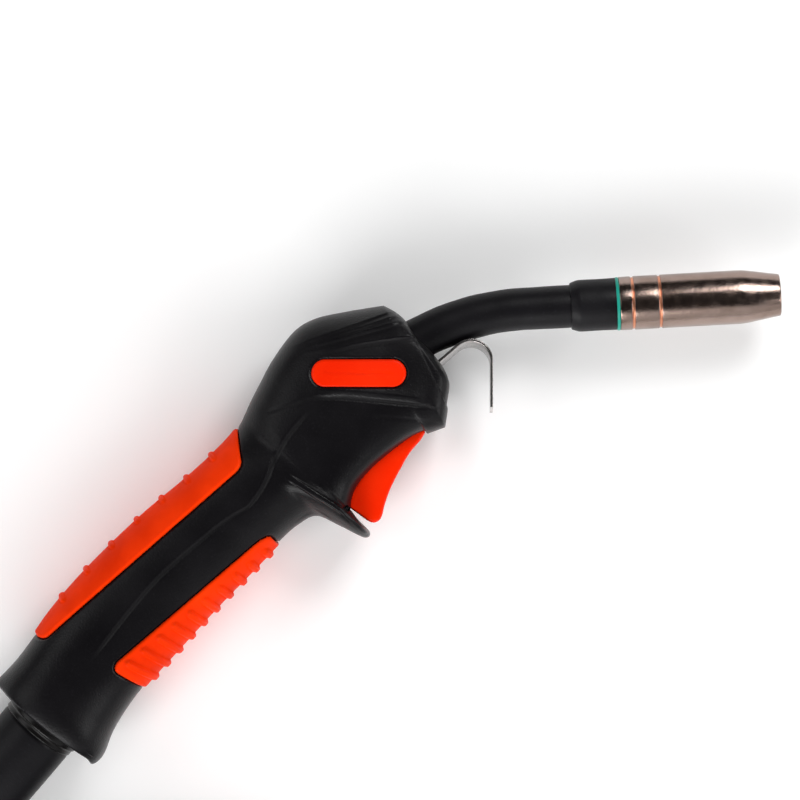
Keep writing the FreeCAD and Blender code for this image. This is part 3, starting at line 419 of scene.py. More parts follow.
# Stations along the handle from the rear bell to the nose, in mm from the symmetry plane:
# the back point, the point on the trigger side and half the width.
STATIONS = [
    ((-131.2, -54.2), (-98.2, -82.7), 19.5),
    ((-124.9, -47.6), (-95.1, -78.0), 19.2),
    ((-119.8, -41.0), (-92.3, -71.0), 18.3),
    ((-113.5, -31.9), (-87.2, -62.6), 17.3),
    ((-105.0, -21.7), (-80.5, -54.0), 17.0),
    ((-95.0, -11.3), (-69.5, -41.9), 16.9),
    ((-82.0, 1.0), (-57.0, -28.3), 17.0),
    ((-70.0, 11.0), (-45.5, -16.6), 17.1),
    ((-62.0, 18.0), (-37.0, -7.8), 17.2),
    ((-57.5, 22.4), (-30.9, -2.4), 17.4),
    ((-54.0, 26.0), (-24.5, 0.7), 17.6),
    ((-51.5, 29.0), (-16.7, -2.6), 17.8),
    ((-49.8, 31.6), (-8.6, -6.5), 17.9),
    ((-49.2, 32.8), (-6.7, -4.9), 18.0),
    ((-48.3, 34.8), (-9.8, -1.7), 18.1),
    ((-46.8, 38.2), (-13.4, 2.8), 18.2),
    ((-43.6, 44.5), (-11.2, 10.2), 18.1),
    ((-39.0, 53.0), (-6.0, 16.6), 18.1),
    ((-32.0, 62.2), (0.9, 22.5), 18.1),
    ((-24.8, 66.5), (6.6, 26.7), 18.1),
    ((-15.0, 68.7), (11.3, 29.3), 18.0),
    ((-8.0, 69.9), (12.4, 28.1), 17.9),
    ((-2.2, 70.8), (18.3, 30.2), 17.8),
    ((1.9, 68.5), (19.1, 35.8), 17.6),
    ((5.2, 65.5), (18.8, 37.6), 17.4),
    ((8.0, 60.7), (19.7, 43.8), 16.9),
    ((13.2, 55.9), (19.2, 46.6), 14.0),
    ((17.0, 51.2), (18.2, 49.2), 5.0),
]
CORNERS = {(1, 15), (1, 20), (1, 21), (1, 22), (1, 24), (0, 22)}    # (side, station) not smoothed
SLOT_STATIONS = (15.3, 19.9)            # where the trigger comes out between the shells
SLOT_HALF = 8.2                         # half that opening's width
LOBE_ROUND, LOBE_REACH = 1.5, 0.8       # rounding of the rear rim's corner, in mm and in stations
RIM_ROLL, RIM_REACH = 1.8, 8.0          # how far the rear rim turns in, and over what length
LAST_STATION = len(STATIONS) - 1

# Exponent of the sections' curve, where 2 is an ellipse, and what the head's back, the slot and the
# nose add to it, each with the stations where it starts and is whole.
SECTION_POWER = 2.4
HEAD_BACK, HEAD_STATIONS = 0.7, (20, 25)
SLOT_SIDES, SIDES_STATIONS = 2.2, (13, 17)
NOSE, NOSE_STATIONS = -0.6, (22, 25)


def smooth_track(values, corners=()):
    """Function of a station number: smooth through the values, with a break at each corner."""
    values = np.array(values, float)
    count = len(values)
    ahead = np.zeros_like(values)
    behind = np.zeros_like(values)
    for index in range(count):
        before = values[max(index - 1, 0)]
        after = values[min(index + 1, count - 1)]
        if index in corners or index in (0, count - 1):
            ahead[index] = after - values[index]
            behind[index] = values[index] - before
        else:
            ahead[index] = behind[index] = (after - before) / 2

    def at(station):
        station = np.clip(np.asarray(station, float), 0, count - 1)
        base = np.minimum(station.astype(int), count - 2)
        part = (station - base)[..., None] if values.ndim > 1 else station - base
        square, cube = part * part, part ** 3
        return ((2 * cube - 3 * square + 1) * values[base] + (cube - 2 * square + part) * ahead[base]
                + (3 * square - 2 * cube) * values[base + 1] + (cube - square) * behind[base + 1])
    return at


back_at, front_at = (
    smooth_track([item[edge] for item in STATIONS], {index for side, index in CORNERS if side == edge})
    for edge in (0, 1))
width_at = smooth_track([item[2] for item in STATIONS])


def section(station, steps=420):
    """Half section of the handle at a station: from the back seam over the side to the front seam."""
    back, front = back_at(station), front_at(station)
    to_back = (back - front) / np.linalg.norm(back - front)
    front = front + to_back * LOBE_ROUND * (1 - quarter_round(station, LOBE_REACH))
    power_back = SECTION_POWER + HEAD_BACK * blend_between(station, *HEAD_STATIONS)
    power_front = SECTION_POWER + SLOT_SIDES * blend_between(station, *SIDES_STATIONS)
    power_front += NOSE * blend_between(station, *NOSE_STATIONS)
    turn = np.linspace(0, math.pi, steps)
    cosine, sine = np.cos(turn), np.sin(turn)
    power = np.where(cosine > 0, power_back, power_front)
    across = np.sign(cosine) * np.abs(cosine) ** (2 / power)
    share = ((1 - across) / 2)[:, None]
    height = width_at(station) * np.abs(sine) ** (2 / power)
    flat = back + (front - back) * share
    return np.column_stack([flat, height])


def evenly(points, count):
    """Points spaced evenly along a line of points."""
    gaps = np.linalg.norm(np.diff(points, axis=0), axis=1)
    reach = np.concatenate([[0], np.cumsum(gaps)])
    wanted = np.linspace(0, reach[-1], count)
    return np.column_stack([np.interp(wanted, reach, points[:, axis]) for axis in range(3)])


def split_evenly(line, height, count, low_count):
    """Even points down to a height on the front wall, then even points from there to the seam."""
    height = min(height, 0.5 * line[:, 2].max())
    above = np.nonzero(line[:, 2] > height)[0][-1]
    first, second = line[above], line[above + 1]
    share = (first[2] - height) / (first[2] - second[2])
    crossing = first + (second - first) * share
    upper = np.vstack([line[: above + 1], crossing])
    lower = np.vstack([crossing, line[above + 1:]])
    return np.vstack([evenly(upper, count), evenly(lower, low_count)[1:]])


def station_list(spacing):
    """Stations at about that spacing in mm along the longer of the two edges."""
    fine = np.linspace(0, LAST_STATION, 2000)
    back_step = np.linalg.norm(np.diff(back_at(fine), axis=0), axis=1)
    front_step = np.linalg.norm(np.diff(front_at(fine), axis=0), axis=1)
    reach = np.concatenate([[0], np.cumsum(np.maximum(back_step, front_step * 0.8))])
    return np.interp(np.linspace(0, reach[-1], int(reach[-1] / spacing)), reach, fine)


# ---- features of the side

def line_field(line, x, y):
    """Distance to a drawn line, plus on its left, and how far along it, from 0 to 1."""
    line = np.array(line, float)
    lengths = np.linalg.norm(np.diff(line, axis=0), axis=1)
    starts = np.concatenate([[0], np.cumsum(lengths)])
    best = np.full(x.shape, 1e9)
    signed = np.zeros(x.shape)
    along = np.zeros(x.shape)
    for index in range(len(lengths)):
        ahead = (line[index + 1] - line[index]) / lengths[index]
        dx, dy = x - line[index][0], y - line[index][1]
        reach = np.clip(dx * ahead[0] + dy * ahead[1], 0, lengths[index])
        gap = np.hypot(dx - reach * ahead[0], dy - reach * ahead[1])
        nearer = gap < best
        side = np.where(ahead[0] * dy - ahead[1] * dx >= 0, 1, -1)
        best = np.where(nearer, gap, best)
        signed = np.where(nearer, gap * side, signed)
        along = np.where(nearer, (starts[index] + reach) / starts[-1], along)
    return signed, along


def arched(points, steps=8):
    """Smooth line through a few points."""
    track = smooth_track(points)
    return track(np.linspace(0, len(points) - 1, (len(points) - 1) * steps + 1))


# Lines on the side of the handle, in mm from back to front, then the sizes of what runs along them.
RIDGES = [
    ((-36.5, 55.4), (-14, 63.2), (0.9, 68.7)),
    ((-34.0, 55.9), (-12, 62.4), (3.1, 67.3)),
    ((-33.5, 54.9), (-11, 60.9), (4.2, 65.2)),
]
BROW = ((-31.5, 53.6), (-20, 55.7), (-9, 58.0), (8.2, 60.3))
SHOULDER = ((-28, 39.5), (-23.8, 40.1), (-15, 39.9), (-6, 39.1), (4, 38.1), (12.5, 37.1))
SHOULDER_TAIL = ((-41, 35.2), (-36, 36.7), (-28, 39.5))
S_CREASE = ((-24.5, 37.6), (-27.1, 35.1), (-31.3, 30.4), (-36, 23.9), (-38.8, 18.3), (-40.7, 13.1),
            (-43, 8.9), (-46.8, 4.1), (-51.9, 1), (-59.6, -4.6), (-74.9, -17.8), (-84.6, -28.6),
            (-94.2, -40.8), (-102, -51.5))
GUARD_RIDGE = ((-35.3, 15.1), (-31.4, 12.6), (-24.8, 8.4), (-20.2, 5.6), (-16.2, 2.9), (-12, -0.4),
               (-8, -4.2))
LIP_LINE = ((-6.5, 34.4), (2, 33.4), (10.8, 32.3), (18.6, 31.0))
LINE_CREASES = ((SHOULDER_TAIL, 0.18, 0.05), (S_CREASE, 0.4, 0.1), (LIP_LINE, 0.12, -0.04))  # depth, rise
CREASE_HALF = 0.75
RIDGE_RISE, RIDGE_REACH, RIDGE_LIP = 0.42, 1.6, 0.9
BROW_RISE, BROW_REACH, BROW_LIP = 0.8, 4.0, 1.2
SHOULDER_RISE, SHOULDER_ROLL, SHOULDER_REACH = 1.15, 2.6, 5
GUARD_RISE, GUARD_BELOW, GUARD_ABOVE = 1.15, 1.5, 0.5
BADGE_CENTRE = (-10.35, 48.2)
BADGE_HALF_LENGTH, BADGE_HALF_HEIGHT = 15.65, 4.55


def badge_distance(x, y):
    """Distance outside the badge's outline, minus inside it."""
    straight = BADGE_HALF_LENGTH - BADGE_HALF_HEIGHT
    dx = np.maximum(np.abs(x - BADGE_CENTRE[0]) - straight, 0)
    return np.hypot(dx, y - BADGE_CENTRE[1]) - BADGE_HALF_HEIGHT


def ledge(distance, rise, reach, lip):
    """Height that rises over a lip's width at a line and dies away behind it."""
    behind = np.clip(distance, 0, None)
    return rise * blend_between(distance, -lip / 2, lip / 2) * np.exp(-behind / reach)


def furrow(distance, depth, half):
    """Round-bottomed groove along a line, as a height below nothing."""
    return -depth * np.clip(1 - (np.abs(distance) / half) ** 2, 0, 1)


def side_relief(x, y):
    """Height added to the side of the shell, in mm."""
    relief = np.zeros(x.shape)
    for line in RIDGES:
        distance, along = line_field(arched(line), x, y)
        fade = blend_between(along, 0.0, 0.55) * blend_between(np.abs(distance), 6, 3)
        relief += ledge(distance, RIDGE_RISE, RIDGE_REACH, RIDGE_LIP) * fade
        relief += furrow(distance + 0.6, 0.14, 0.8) * fade
    distance, along = line_field(arched(BROW), x, y)
    fade = blend_between(along, 0.0, 0.75)
    relief += ledge(distance, BROW_RISE, BROW_REACH, BROW_LIP) * fade
    relief += furrow(distance + 0.8, 0.25, 1.0) * fade
    distance, along = line_field(arched(SHOULDER), x, y)
    fade = blend_between(along, 0.0, 0.35) * (1 - 0.75 * blend_between(along, 0.88, 1.0))
    roll = np.sqrt(np.clip(distance / SHOULDER_ROLL, 0, 1))
    roll *= np.exp(-np.clip(distance - SHOULDER_ROLL, 0, None) / SHOULDER_REACH)
    relief += SHOULDER_RISE * roll * fade
    relief += furrow(distance, 0.35, 0.8) * (0.35 + 0.65 * fade)
    for line, depth, step in LINE_CREASES:
        distance, along = line_field(arched(line), x, y)
        ends = blend_between(along, 0.0, 0.08) * blend_between(along, 1.0, 0.85)
        relief += furrow(distance, depth, CREASE_HALF) * ends
        relief += step * blend_between(distance, -0.35, 0.45) * np.exp(-np.abs(distance) / 5) * ends
    distance, along = line_field(arched(GUARD_RIDGE), x, y)
    grow = blend_between(along, 0.0, 0.4)
    crest = blend_between(np.abs(distance), 1.25, 0.75)
    below = blend_between(-distance, 0.8, 4.5) * blend_between(-distance, 16, 7)
    above = blend_between(distance, 0.8, 3.5) * blend_between(distance, 14, 5)
    reached = blend_between(along, 0.0, 0.12)
    relief += (GUARD_RISE * crest - GUARD_BELOW * below - GUARD_ABOVE * above) * grow * reached
    return relief


# ---- shells

def soft_corners(points, size, steps=6):
    """Closed outline with every corner rounded."""
    out = []
    for index in range(len(points)):
        before, corner, after = (Vector(points[(index + shift) % len(points)]) for shift in (-1, 0, 1))
        out += [tuple(place) for place in corner_arc(before, corner, after, size, steps)]
    return out


BACK_GRIP = soft_corners([(-44, 60), (-51.2, 31.0), (-49.0, 18.2), (-50.2, 16.0), (-113.8, -39.4),
                          (-116.2, -39.4), (-122, -36), (-140, -20)], 2.0)
FINGER_GRIP = soft_corners([(-20, -30), (-36.9, -8.6), (-39.6, -5.4), (-43.4, -7.4), (-90.6, -47.6),
                            (-90.9, -50.2), (-81.6, -56.4), (-70, -75)], 2.2)


def outline_distance(outline, x, y):
    """Distance outside a closed outline, minus inside it."""
    closed = list(outline) + [outline[0]]
    inside = np.zeros(x.shape, bool)
    for start, end in zip(closed[:-1], closed[1:]):
        if start[1] != end[1]:
            slope = (end[0] - start[0]) / (end[1] - start[1])
            inside ^= ((start[1] > y) != (end[1] > y)) & (x < (y - start[1]) * slope + start[0])
    away = np.abs(line_field(closed, x, y)[0])
    return np.where(inside, -away, away)


def grid_normals(points):
    """Outward normals of a grid of points: rows along the handle, columns from back to front."""
    along = np.gradient(points, axis=0)
    across = np.gradient(points, axis=1)
    normal = np.cross(across, along)
    length = np.linalg.norm(normal, axis=2, keepdims=True)
    return normal / np.maximum(length, 1e-9)


SIDE_COLUMNS, WALL_COLUMNS = 136, 16    # of the shell's grid, on the side and on the wall by the slot
SHELL_SPACING, GRIP_SPACING = 0.46, 0.36            # mm between the rows of the grids
GRIP_PROUD, GRIP_SUNK = 0.8, 0.5        # the grips' face over the shell, and their edge under it
GRIP_RECESS, GROOVE_HALF = 0.75, 0.55   # depth of the shell under the grips, and the gap round them
BADGE_RECESS = 0.7                      # depth of the shell under the badge
LIP_STATIONS = (18.6, 21.5)             # where the cheek steps out from the slot to the lip
FAIRING_ROWS = 10                       # rows to either side that the step is averaged over
SCREW_WAY, SCREW_DEPTH = 3.3, 3.2       # radius and depth of the recesses for the screw heads
SKIN = 2.1 * MM                         # thickness of the shells


def faired(points, stations):
    """Eases the step beside the trigger's top by averaging each row with its neighbours."""
    spread = np.hanning(2 * FAIRING_ROWS + 1)
    spread = spread / spread.sum()
    rows = np.pad(points, ((FAIRING_ROWS, FAIRING_ROWS), (0, 0), (0, 0)), mode="edge")
    even = sum(part * rows[shift: shift + len(points)] for shift, part in enumerate(spread))
    low, high = LIP_STATIONS
    share = blend_between(stations, low, low + 0.6) * blend_between(stations, high, high - 0.6)
    share = share[:, None] * blend_between(points[..., 2], SLOT_HALF, SLOT_HALF + 2)
    return points + (even - points) * share[..., None]


def shell_points(stations):
    """The shell's outside as a grid, with every groove and ridge on it."""
    lines = [split_evenly(section(station), SLOT_HALF, SIDE_COLUMNS, WALL_COLUMNS) for station in stations]
    points = faired(np.array(lines), stations)
    normal = grid_normals(points)
    x, y, z = points[..., 0], points[..., 1], points[..., 2]
    upward = blend_between(z, 2.0, 10.0) * blend_between(normal[..., 2], 0.05, 0.45)
    points[..., 2] += side_relief(x, y) * upward
    sunk = np.zeros(x.shape)
    for outline in (BACK_GRIP, FINGER_GRIP):
        distance = outline_distance(outline, x, y)
        sunk += GRIP_RECESS * blend_between(distance, GROOVE_HALF, GROOVE_HALF * 0.3)
    sunk += BADGE_RECESS * blend_between(badge_distance(x, y), 0.62, 0.3)
    rim_start, rim_end = np.array(STATIONS[0][0]), np.array(STATIONS[0][1])
    inwards = np.array([rim_start[1] - rim_end[1], rim_end[0] - rim_start[0]])
    inwards = inwards / np.linalg.norm(inwards)
    from_rim = (points[..., :2] - rim_start) @ inwards
    sunk += RIM_ROLL * (1 - quarter_round(from_rim, RIM_REACH)) * blend_between(z, 4, 13)
    points -= normal * sunk[..., None]
    return points


def without_loose(vertices, faces):
    """Only the points that a face uses."""
    used = sorted({corner for face in faces for corner in face})
    number = {corner: index for index, corner in enumerate(used)}
    return vertices[used], [tuple(number[corner] for corner in face) for face in faces]


def screw_places():
    """Centres of the shell screws in mm, found in the CAD node's own mesh."""
    groups = []
    for vertex in frame["nodes"]["shell_screws"].data.vertices:
        place = np.array(vertex.co[:2]) / MM
        for group in groups:
            if np.linalg.norm(place - group[0]) < 2 * SCREW_WAY:
                group.append(place)
                break
        else:
            groups.append([place])
    return [(np.min(group, axis=0) + np.max(group, axis=0)) / 2 for group in groups]


def make_shells():
    """Both halves, open where the trigger comes out; returns the left half's grid of points."""
    stations = station_list(SHELL_SPACING)
    points = shell_points(stations)
    rows, columns = points.shape[:2]
    open_row = [SLOT_STATIONS[0] < station < SLOT_STATIONS[1] for station in stations]
    left, right = in_row_frame(points), in_row_frame(points, -1)
    for place in screw_places():
        away = np.linalg.norm(points[..., :2] - place, axis=2)
        recess = SCREW_DEPTH * blend_between(away, SCREW_WAY, SCREW_WAY - 0.5) * (points[..., 2] > 8)
        right[..., 2] += recess * MM
    for name, half, flip in (("shell_left", left, False), ("shell_right", right, True)):
        faces = []
        for index, face in enumerate(grid_faces(rows, columns, flip=flip)):
            row, column = divmod(index, columns - 1)
            if not (open_row[row] and column >= SIDE_COLUMNS - 1):
                faces.append(face)
        vertices, faces = without_loose(half.reshape(-1, 3), faces)
        piece = mesh_object(name + "_skin", vertices, faces)
        applied(piece, "SOLIDIFY", thickness=SKIN, offset=-1)
        placed(piece, "handle", "handle_black", "handle_" + name)
    return points


shell_grid = make_shells()


# ---- grips and badge

def grip_band(outline, stations, from_front, columns, bumps):
    """Soft band over the back or the front seam, from its edge on one side to its edge on the other."""
    band = []
    for station in stations:
        line = section(station, 700)
        inside = outline_distance(outline, line[:, 0], line[:, 1]) < 0
        if from_front:
            line, inside = line[::-1], inside[::-1]
        if inside.sum() < 12:
            continue
        half = line[: np.nonzero(inside)[0][-1] + 1]
        whole = np.vstack([half[::-1], (half * np.array([1, 1, -1]))[1:]])
        band.append(evenly(whole, columns))
    points = np.array(band)
    normal = grid_normals(points)
    middle_row, middle_column = len(points) // 2, columns // 2
    if np.dot(normal[middle_row, middle_column], (1, -1, 0) if from_front else (-1, 1, 0)) < 0:
        normal = -normal
    edge = -outline_distance(outline, points[..., 0], points[..., 1])
    lift = (GRIP_PROUD + GRIP_SUNK) * quarter_round(edge, 0.9) - GRIP_SUNK
    lift -= 0.7 * blend_between(-edge, 0.0, 0.4)
    lift += bumps(points) * blend_between(edge, 0.2, 0.8)
    return points + normal * lift[..., None]


RIBS = [
    ((-41.8, -10.7), (-40.1, -12.1)), ((-46.5, -14.7), (-45.0, -16.6)),
    ((-51.6, -18.5), (-49.3, -20.9)), ((-56.5, -22.8), (-53.7, -25.3)),
    ((-61.6, -26.8), (-58.0, -30.0)), ((-66.5, -31.1), (-62.2, -34.5)),
    ((-71.6, -35.1), (-66.3, -38.9)), ((-76.5, -39.1), (-70.3, -43.6)),
    ((-81.6, -43.4), (-74.3, -48.1)), ((-86.7, -47.6), (-78.2, -52.5)),
]
NUBS = [(-59, 20.4), (-67.5, 13), (-75.9, 6.4), (-84.3, -0.5), (-92.7, -8.7), (-100.9, -17.1),
        (-108.8, -26.3)]
RIB_RISE, RIB_HALF = 1.15, 1.55
NUB_RISE, NUB_HALF, NUB_REACH = 0.9, 1.0, 1.2
NUB_WAY = (0.62, -0.785)                # from the spine down the side


def along_and_aside(x, y, start, way):
    """How far points lie along a direction from a start, and how far to either side of it."""
    dx, dy = x - start[0], y - start[1]
    return dx * way[0] + dy * way[1], np.abs(dy * way[0] - dx * way[1])


def rib_bumps(points):
    """Height of the flat-topped ribs across the finger grip."""
    x, y = points[..., 0], points[..., 1]
    rise = np.zeros(x.shape)
    for inner, outer in RIBS:
        ahead = np.array(outer) - np.array(inner)
        along, aside = along_and_aside(x, y, inner, ahead / np.linalg.norm(ahead))
        gap = np.hypot(aside, np.clip(-along, 0, None))
        rise = np.maximum(rise, RIB_RISE * blend_between(gap, RIB_HALF, RIB_HALF - 0.9))
    return rise


def nub_bumps(points):
    """Height of the small round nubs down the back grip."""
    x, y = points[..., 0], points[..., 1]
    rise = np.zeros(x.shape)
    for place in NUBS:
        along, aside = along_and_aside(x, y, place, NUB_WAY)
        gap = np.hypot(aside, np.clip(along - NUB_REACH, 0, None))
        rise = np.maximum(rise, NUB_RISE * quarter_round(NUB_HALF - gap, NUB_HALF))
    return rise


def make_grips():
    """Soft overmouldings on the back and under the fingers."""
    fine = station_list(GRIP_SPACING)
    for name, outline, span, from_front, columns, bumps in (
            ("back_grip", BACK_GRIP, (0.8, 12.5), False, 90, nub_bumps),
            ("finger_grip", FINGER_GRIP, (0.8, 9.6), True, 110, rib_bumps)):
        chosen = [station for station in fine if span[0] < station < span[1]]
        points = grip_band(outline, chosen, from_front, columns, bumps)
        piece = mesh_object(name + "_skin", in_row_frame(points).reshape(-1, 3),
                            grid_faces(len(points), columns, flip=not from_front))
        applied(piece, "SOLIDIFY", thickness=1.0 * MM, offset=-1)
        placed(piece, "handle", "grip_orange", name)


def badge_rim(count):
    """Points evenly spaced round the badge: two straights and two half circles."""
    straight = 2 * (BADGE_HALF_LENGTH - BADGE_HALF_HEIGHT)
    arc = math.pi * BADGE_HALF_HEIGHT
    rim = []
    for step in range(count):
        reach = 2 * (straight + arc) * step / count
        sign = 1 if reach < straight + arc else -1
        reach %= straight + arc
        if reach < straight:
            rim.append((sign * (straight / 2 - reach), sign * BADGE_HALF_HEIGHT))
        else:
            turn = math.pi / 2 + (reach - straight) / BADGE_HALF_HEIGHT
            rim.append((sign * (-straight / 2 + BADGE_HALF_HEIGHT * math.cos(turn)),
                        sign * BADGE_HALF_HEIGHT * math.sin(turn)))
    return rim


def cheek_height(x, y):
    """Height of the cheek round the badge, as a smooth quadric through the shell's own points."""
    flat = shell_grid[..., :2].reshape(-1, 2)
    heights = shell_grid[..., 2].reshape(-1)
    away = badge_distance(flat[:, 0], flat[:, 1])
    near = (away > 0.9) & (away < 3.5) & (heights > 12)

    def terms(across, up):
        return np.column_stack([np.ones_like(across), across, up, across ** 2, across * up, up ** 2])
    fit = np.linalg.lstsq(terms(flat[near, 0], flat[near, 1]), heights[near], rcond=None)[0]
    return terms(x, y) @ fit


def make_badges():
    """Oval plates on both cheeks that follow the shell's curve; they carry no words."""
    rings, around = 16, 160
    places = []
    for ring in range(1, rings + 1):
        share = math.sin(math.pi / 2 * ring / rings)
        for dx, dy in badge_rim(around):
            straight = BADGE_HALF_LENGTH - BADGE_HALF_HEIGHT
            spine = min(max(dx, -straight), straight)
            places.append((BADGE_CENTRE[0] + spine + (dx - spine) * share, BADGE_CENTRE[1] + dy * share))
    x, y = np.array(places).T
    rise = 0.7 * quarter_round(-badge_distance(x, y), 0.8) - 0.4
    points = np.column_stack([x, y, cheek_height(x, y) + rise])
    faces = grid_faces(rings, around, close_columns=True)
    half = around // 2
    faces += [(around - 1 - index, around - 2 - index, index + 1, index) for index in range(half - 1)]
    for name, sign in (("badge_left", 1), ("badge_right", -1)):
        turned = [face[::-1] for face in faces] if sign > 0 else faces
        piece = mesh_object(name + "_plate", in_row_frame(points, sign), turned)
        applied(piece, "SOLIDIFY", thickness=0.8 * MM, offset=-1)
        placed(piece, "handle", "badge_orange", name)


make_grips()
make_badges()


# ---- trigger

TRIGGER_BACK = ((11.3, 29.6), (8, 28.9), (4.2, 26.6), (0, 23.3), (-4.2, 19.5), (-7.7, 15.8),
                (-10.9, 11.2), (-12.8, 7.4), (-13.3, 3.6))
TRIGGER_FRONT = ((-13.1, 3.3), (-10.2, 1.2), (-7.4, -0.8), (-5.4, -1.4), (-3.6, -0.6), (-2.6, 1.2),
                 (-1.8, 4.5), (-0.4, 8.6), (1.2, 12.2), (3.6, 16.7), (6.5, 21.7), (10.1, 26.0),
                 (11.6, 28.4))
TRIGGER_HALF, TRIGGER_EDGE, TRIGGER_CROWN = 7.5, 1.4, 0.35      # half width, edge's rounding, swell


def make_trigger():
    """Crescent with a crowned face: rows run from the inner curve to the finger's curve and over."""
    rows = 90
    share = np.linspace(0, 1, rows)
    back = smooth_track(TRIGGER_BACK)(share * (len(TRIGGER_BACK) - 1))
    front = smooth_track(TRIGGER_FRONT)((1 - share) * (len(TRIGGER_FRONT) - 1))
    columns = 34
    grid = []
    for inner, outer in zip(back, front):
        reach = np.linalg.norm(outer - inner)
        line = []
        for column in range(columns + 1):
            place = column / columns
            point = inner + (outer - inner) * place
            gap = min(place * reach + 1.2, (1 - place) * reach, TRIGGER_EDGE)
            fall = TRIGGER_EDGE * (1 - quarter_round(gap, TRIGGER_EDGE))
            height = TRIGGER_HALF - fall - TRIGGER_CROWN * (1 - 4 * place * (1 - place))
            line.append((*point, height))
        over = [(*outer, height) for height in np.linspace(line[-1][2], -line[-1][2], 18)[1:-1]]
        under = [(x, y, -z) for x, y, z in reversed(line)]
        behind = [(*inner, height) for height in np.linspace(-line[0][2], line[0][2], 12)[1:-1]]
        grid.append(line + over + under + behind)
    points = np.array(grid)
    width = points.shape[1]
    faces = grid_faces(rows, width, close_columns=True) + end_faces(rows, width)
    piece = mesh_object("trigger_blade", in_row_frame(points).reshape(-1, 3), faces)
    placed(outward(piece), "trigger_lever", "trigger_orange", "trigger")


make_trigger()


# ---- hanger hook

HOOK_BEND, HOOK_TURN, HOOK_FOOT = 6.85, math.radians(131), 12   # bend's radius and angle, foot's length
HOOK_HALF, HOOK_WIDTH, HOOK_EDGE = 0.5, 6.0, 0.28   # half its thickness, half its width, its rounding
HOOK_SKEW = 0.17                        # how much higher its near edge stands, per mm of width


def make_hook():
    """Bright strip, bent over and down."""
    low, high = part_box("hanger_hook")
    side_x = high.x / MM - HOOK_HALF
    top = high.y / MM - HOOK_HALF
    centre = Vector((side_x - HOOK_BEND, top - HOOK_BEND))
    foot = centre + flat_direction(HOOK_TURN).to_2d() * HOOK_BEND
    slope = flat_direction(HOOK_TURN + math.pi / 2).to_2d()
    line = [foot + slope * reach for reach in np.linspace(HOOK_FOOT, 0.6, 14)]
    for step in range(41):
        line.append(centre + flat_direction(HOOK_TURN * (1 - step / 40)).to_2d() * HOOK_BEND)
    line += [Vector((side_x, height)) for height in np.linspace(centre.y - 0.6, low.y / MM, 22)]
    outline = []
    flat_x, flat_z = HOOK_HALF - HOOK_EDGE, HOOK_WIDTH - HOOK_EDGE
    for quarter, (sign_x, sign_z) in enumerate(((1, 1), (-1, 1), (-1, -1), (1, -1))):
        for step in range(5):
            turn = math.radians(90 * quarter + 22.5 * step)
            outline.append((sign_x * flat_x + HOOK_EDGE * math.cos(turn),
                            sign_z * flat_z + HOOK_EDGE * math.sin(turn)))
    grid = []
    for index, point in enumerate(line):
        ahead = (line[min(index + 1, len(line) - 1)] - line[max(index - 1, 0)]).normalized()
        across = Vector((-ahead.y, ahead.x))
        for offset, height in outline:
            grid.append(((point.x + across.x * offset) * MM,
                         (point.y + across.y * offset + HOOK_SKEW * height) * MM, MID_Z + height * MM))
    columns = len(outline)
    faces = grid_faces(len(line), columns, close_columns=True) + end_faces(len(line), columns)
    piece = outward(mesh_object("hook_strip", grid, faces))
    applied(piece, "EDGE_SPLIT", split_angle=math.radians(50))
    placed(piece, "handle", "steel_bright", "hanger_hook")


make_hook()


# ---- swan neck and nozzle

joints = {joint["name"]: joint for joint in frame["joints"]}
LINE = Vector(joints["nozzle_pull"]["axis"]).normalized()     # where the nozzle points
RISE = math.atan2(LINE.y, LINE.x)
COLLAR_LENGTH = 15.2
LINE_START = middle("neck_collar") - LINE * (COLLAR_LENGTH / 2 * MM)
NECK_STRAIGHT, NECK_RADIUS, SLEEVE_RADIUS = 15.3, 85, 7.1
SLEEVE_END = math.radians(43)


def make_neck():
    """Rubber sleeve bent along the neck, with a soft unevenness like heat-shrunk tube."""
    around = 72
    start = LINE_START / MM
    bend = start - LINE * NECK_STRAIGHT
    centre = bend - flat_direction(RISE + math.pi / 2) * NECK_RADIUS
    places = []
    for step in range(9):
        places.append((start + LINE * (1.5 - (NECK_STRAIGHT + 1.5) * step / 9), LINE))
    for step in range(61):
        turn = RISE + (SLEEVE_END - RISE) * step / 60
        places.append((centre + flat_direction(turn + math.pi / 2) * NECK_RADIUS, flat_direction(turn)))
    vertices = []
    for index, (place, ahead) in enumerate(places):
        aside = Vector((-ahead.y, ahead.x, 0))
        radius = SLEEVE_RADIUS + 0.04 * math.sin(index * 0.55) + 0.03 * math.sin(index * 0.23 + 1)
        for step in range(around):
            turn = 2 * math.pi * step / around
            vertices.append((place + aside * radius * math.cos(turn) + UP * radius * math.sin(turn)) * MM)
    faces = grid_faces(len(places), around, close_columns=True) + end_faces(len(places), around)
    piece = outward(mesh_object("neck_sleeve_skin", vertices, faces))
    placed(piece, "handle", "rubber_black", "neck_sleeve")


def collar_shape(along, radius, turn):
    """The moulded collar is a little out of round and bellies in its middle."""
    return radius + 0.07 * math.sin(2 * turn + 0.6) + 0.05 * math.sin(along * 0.5)


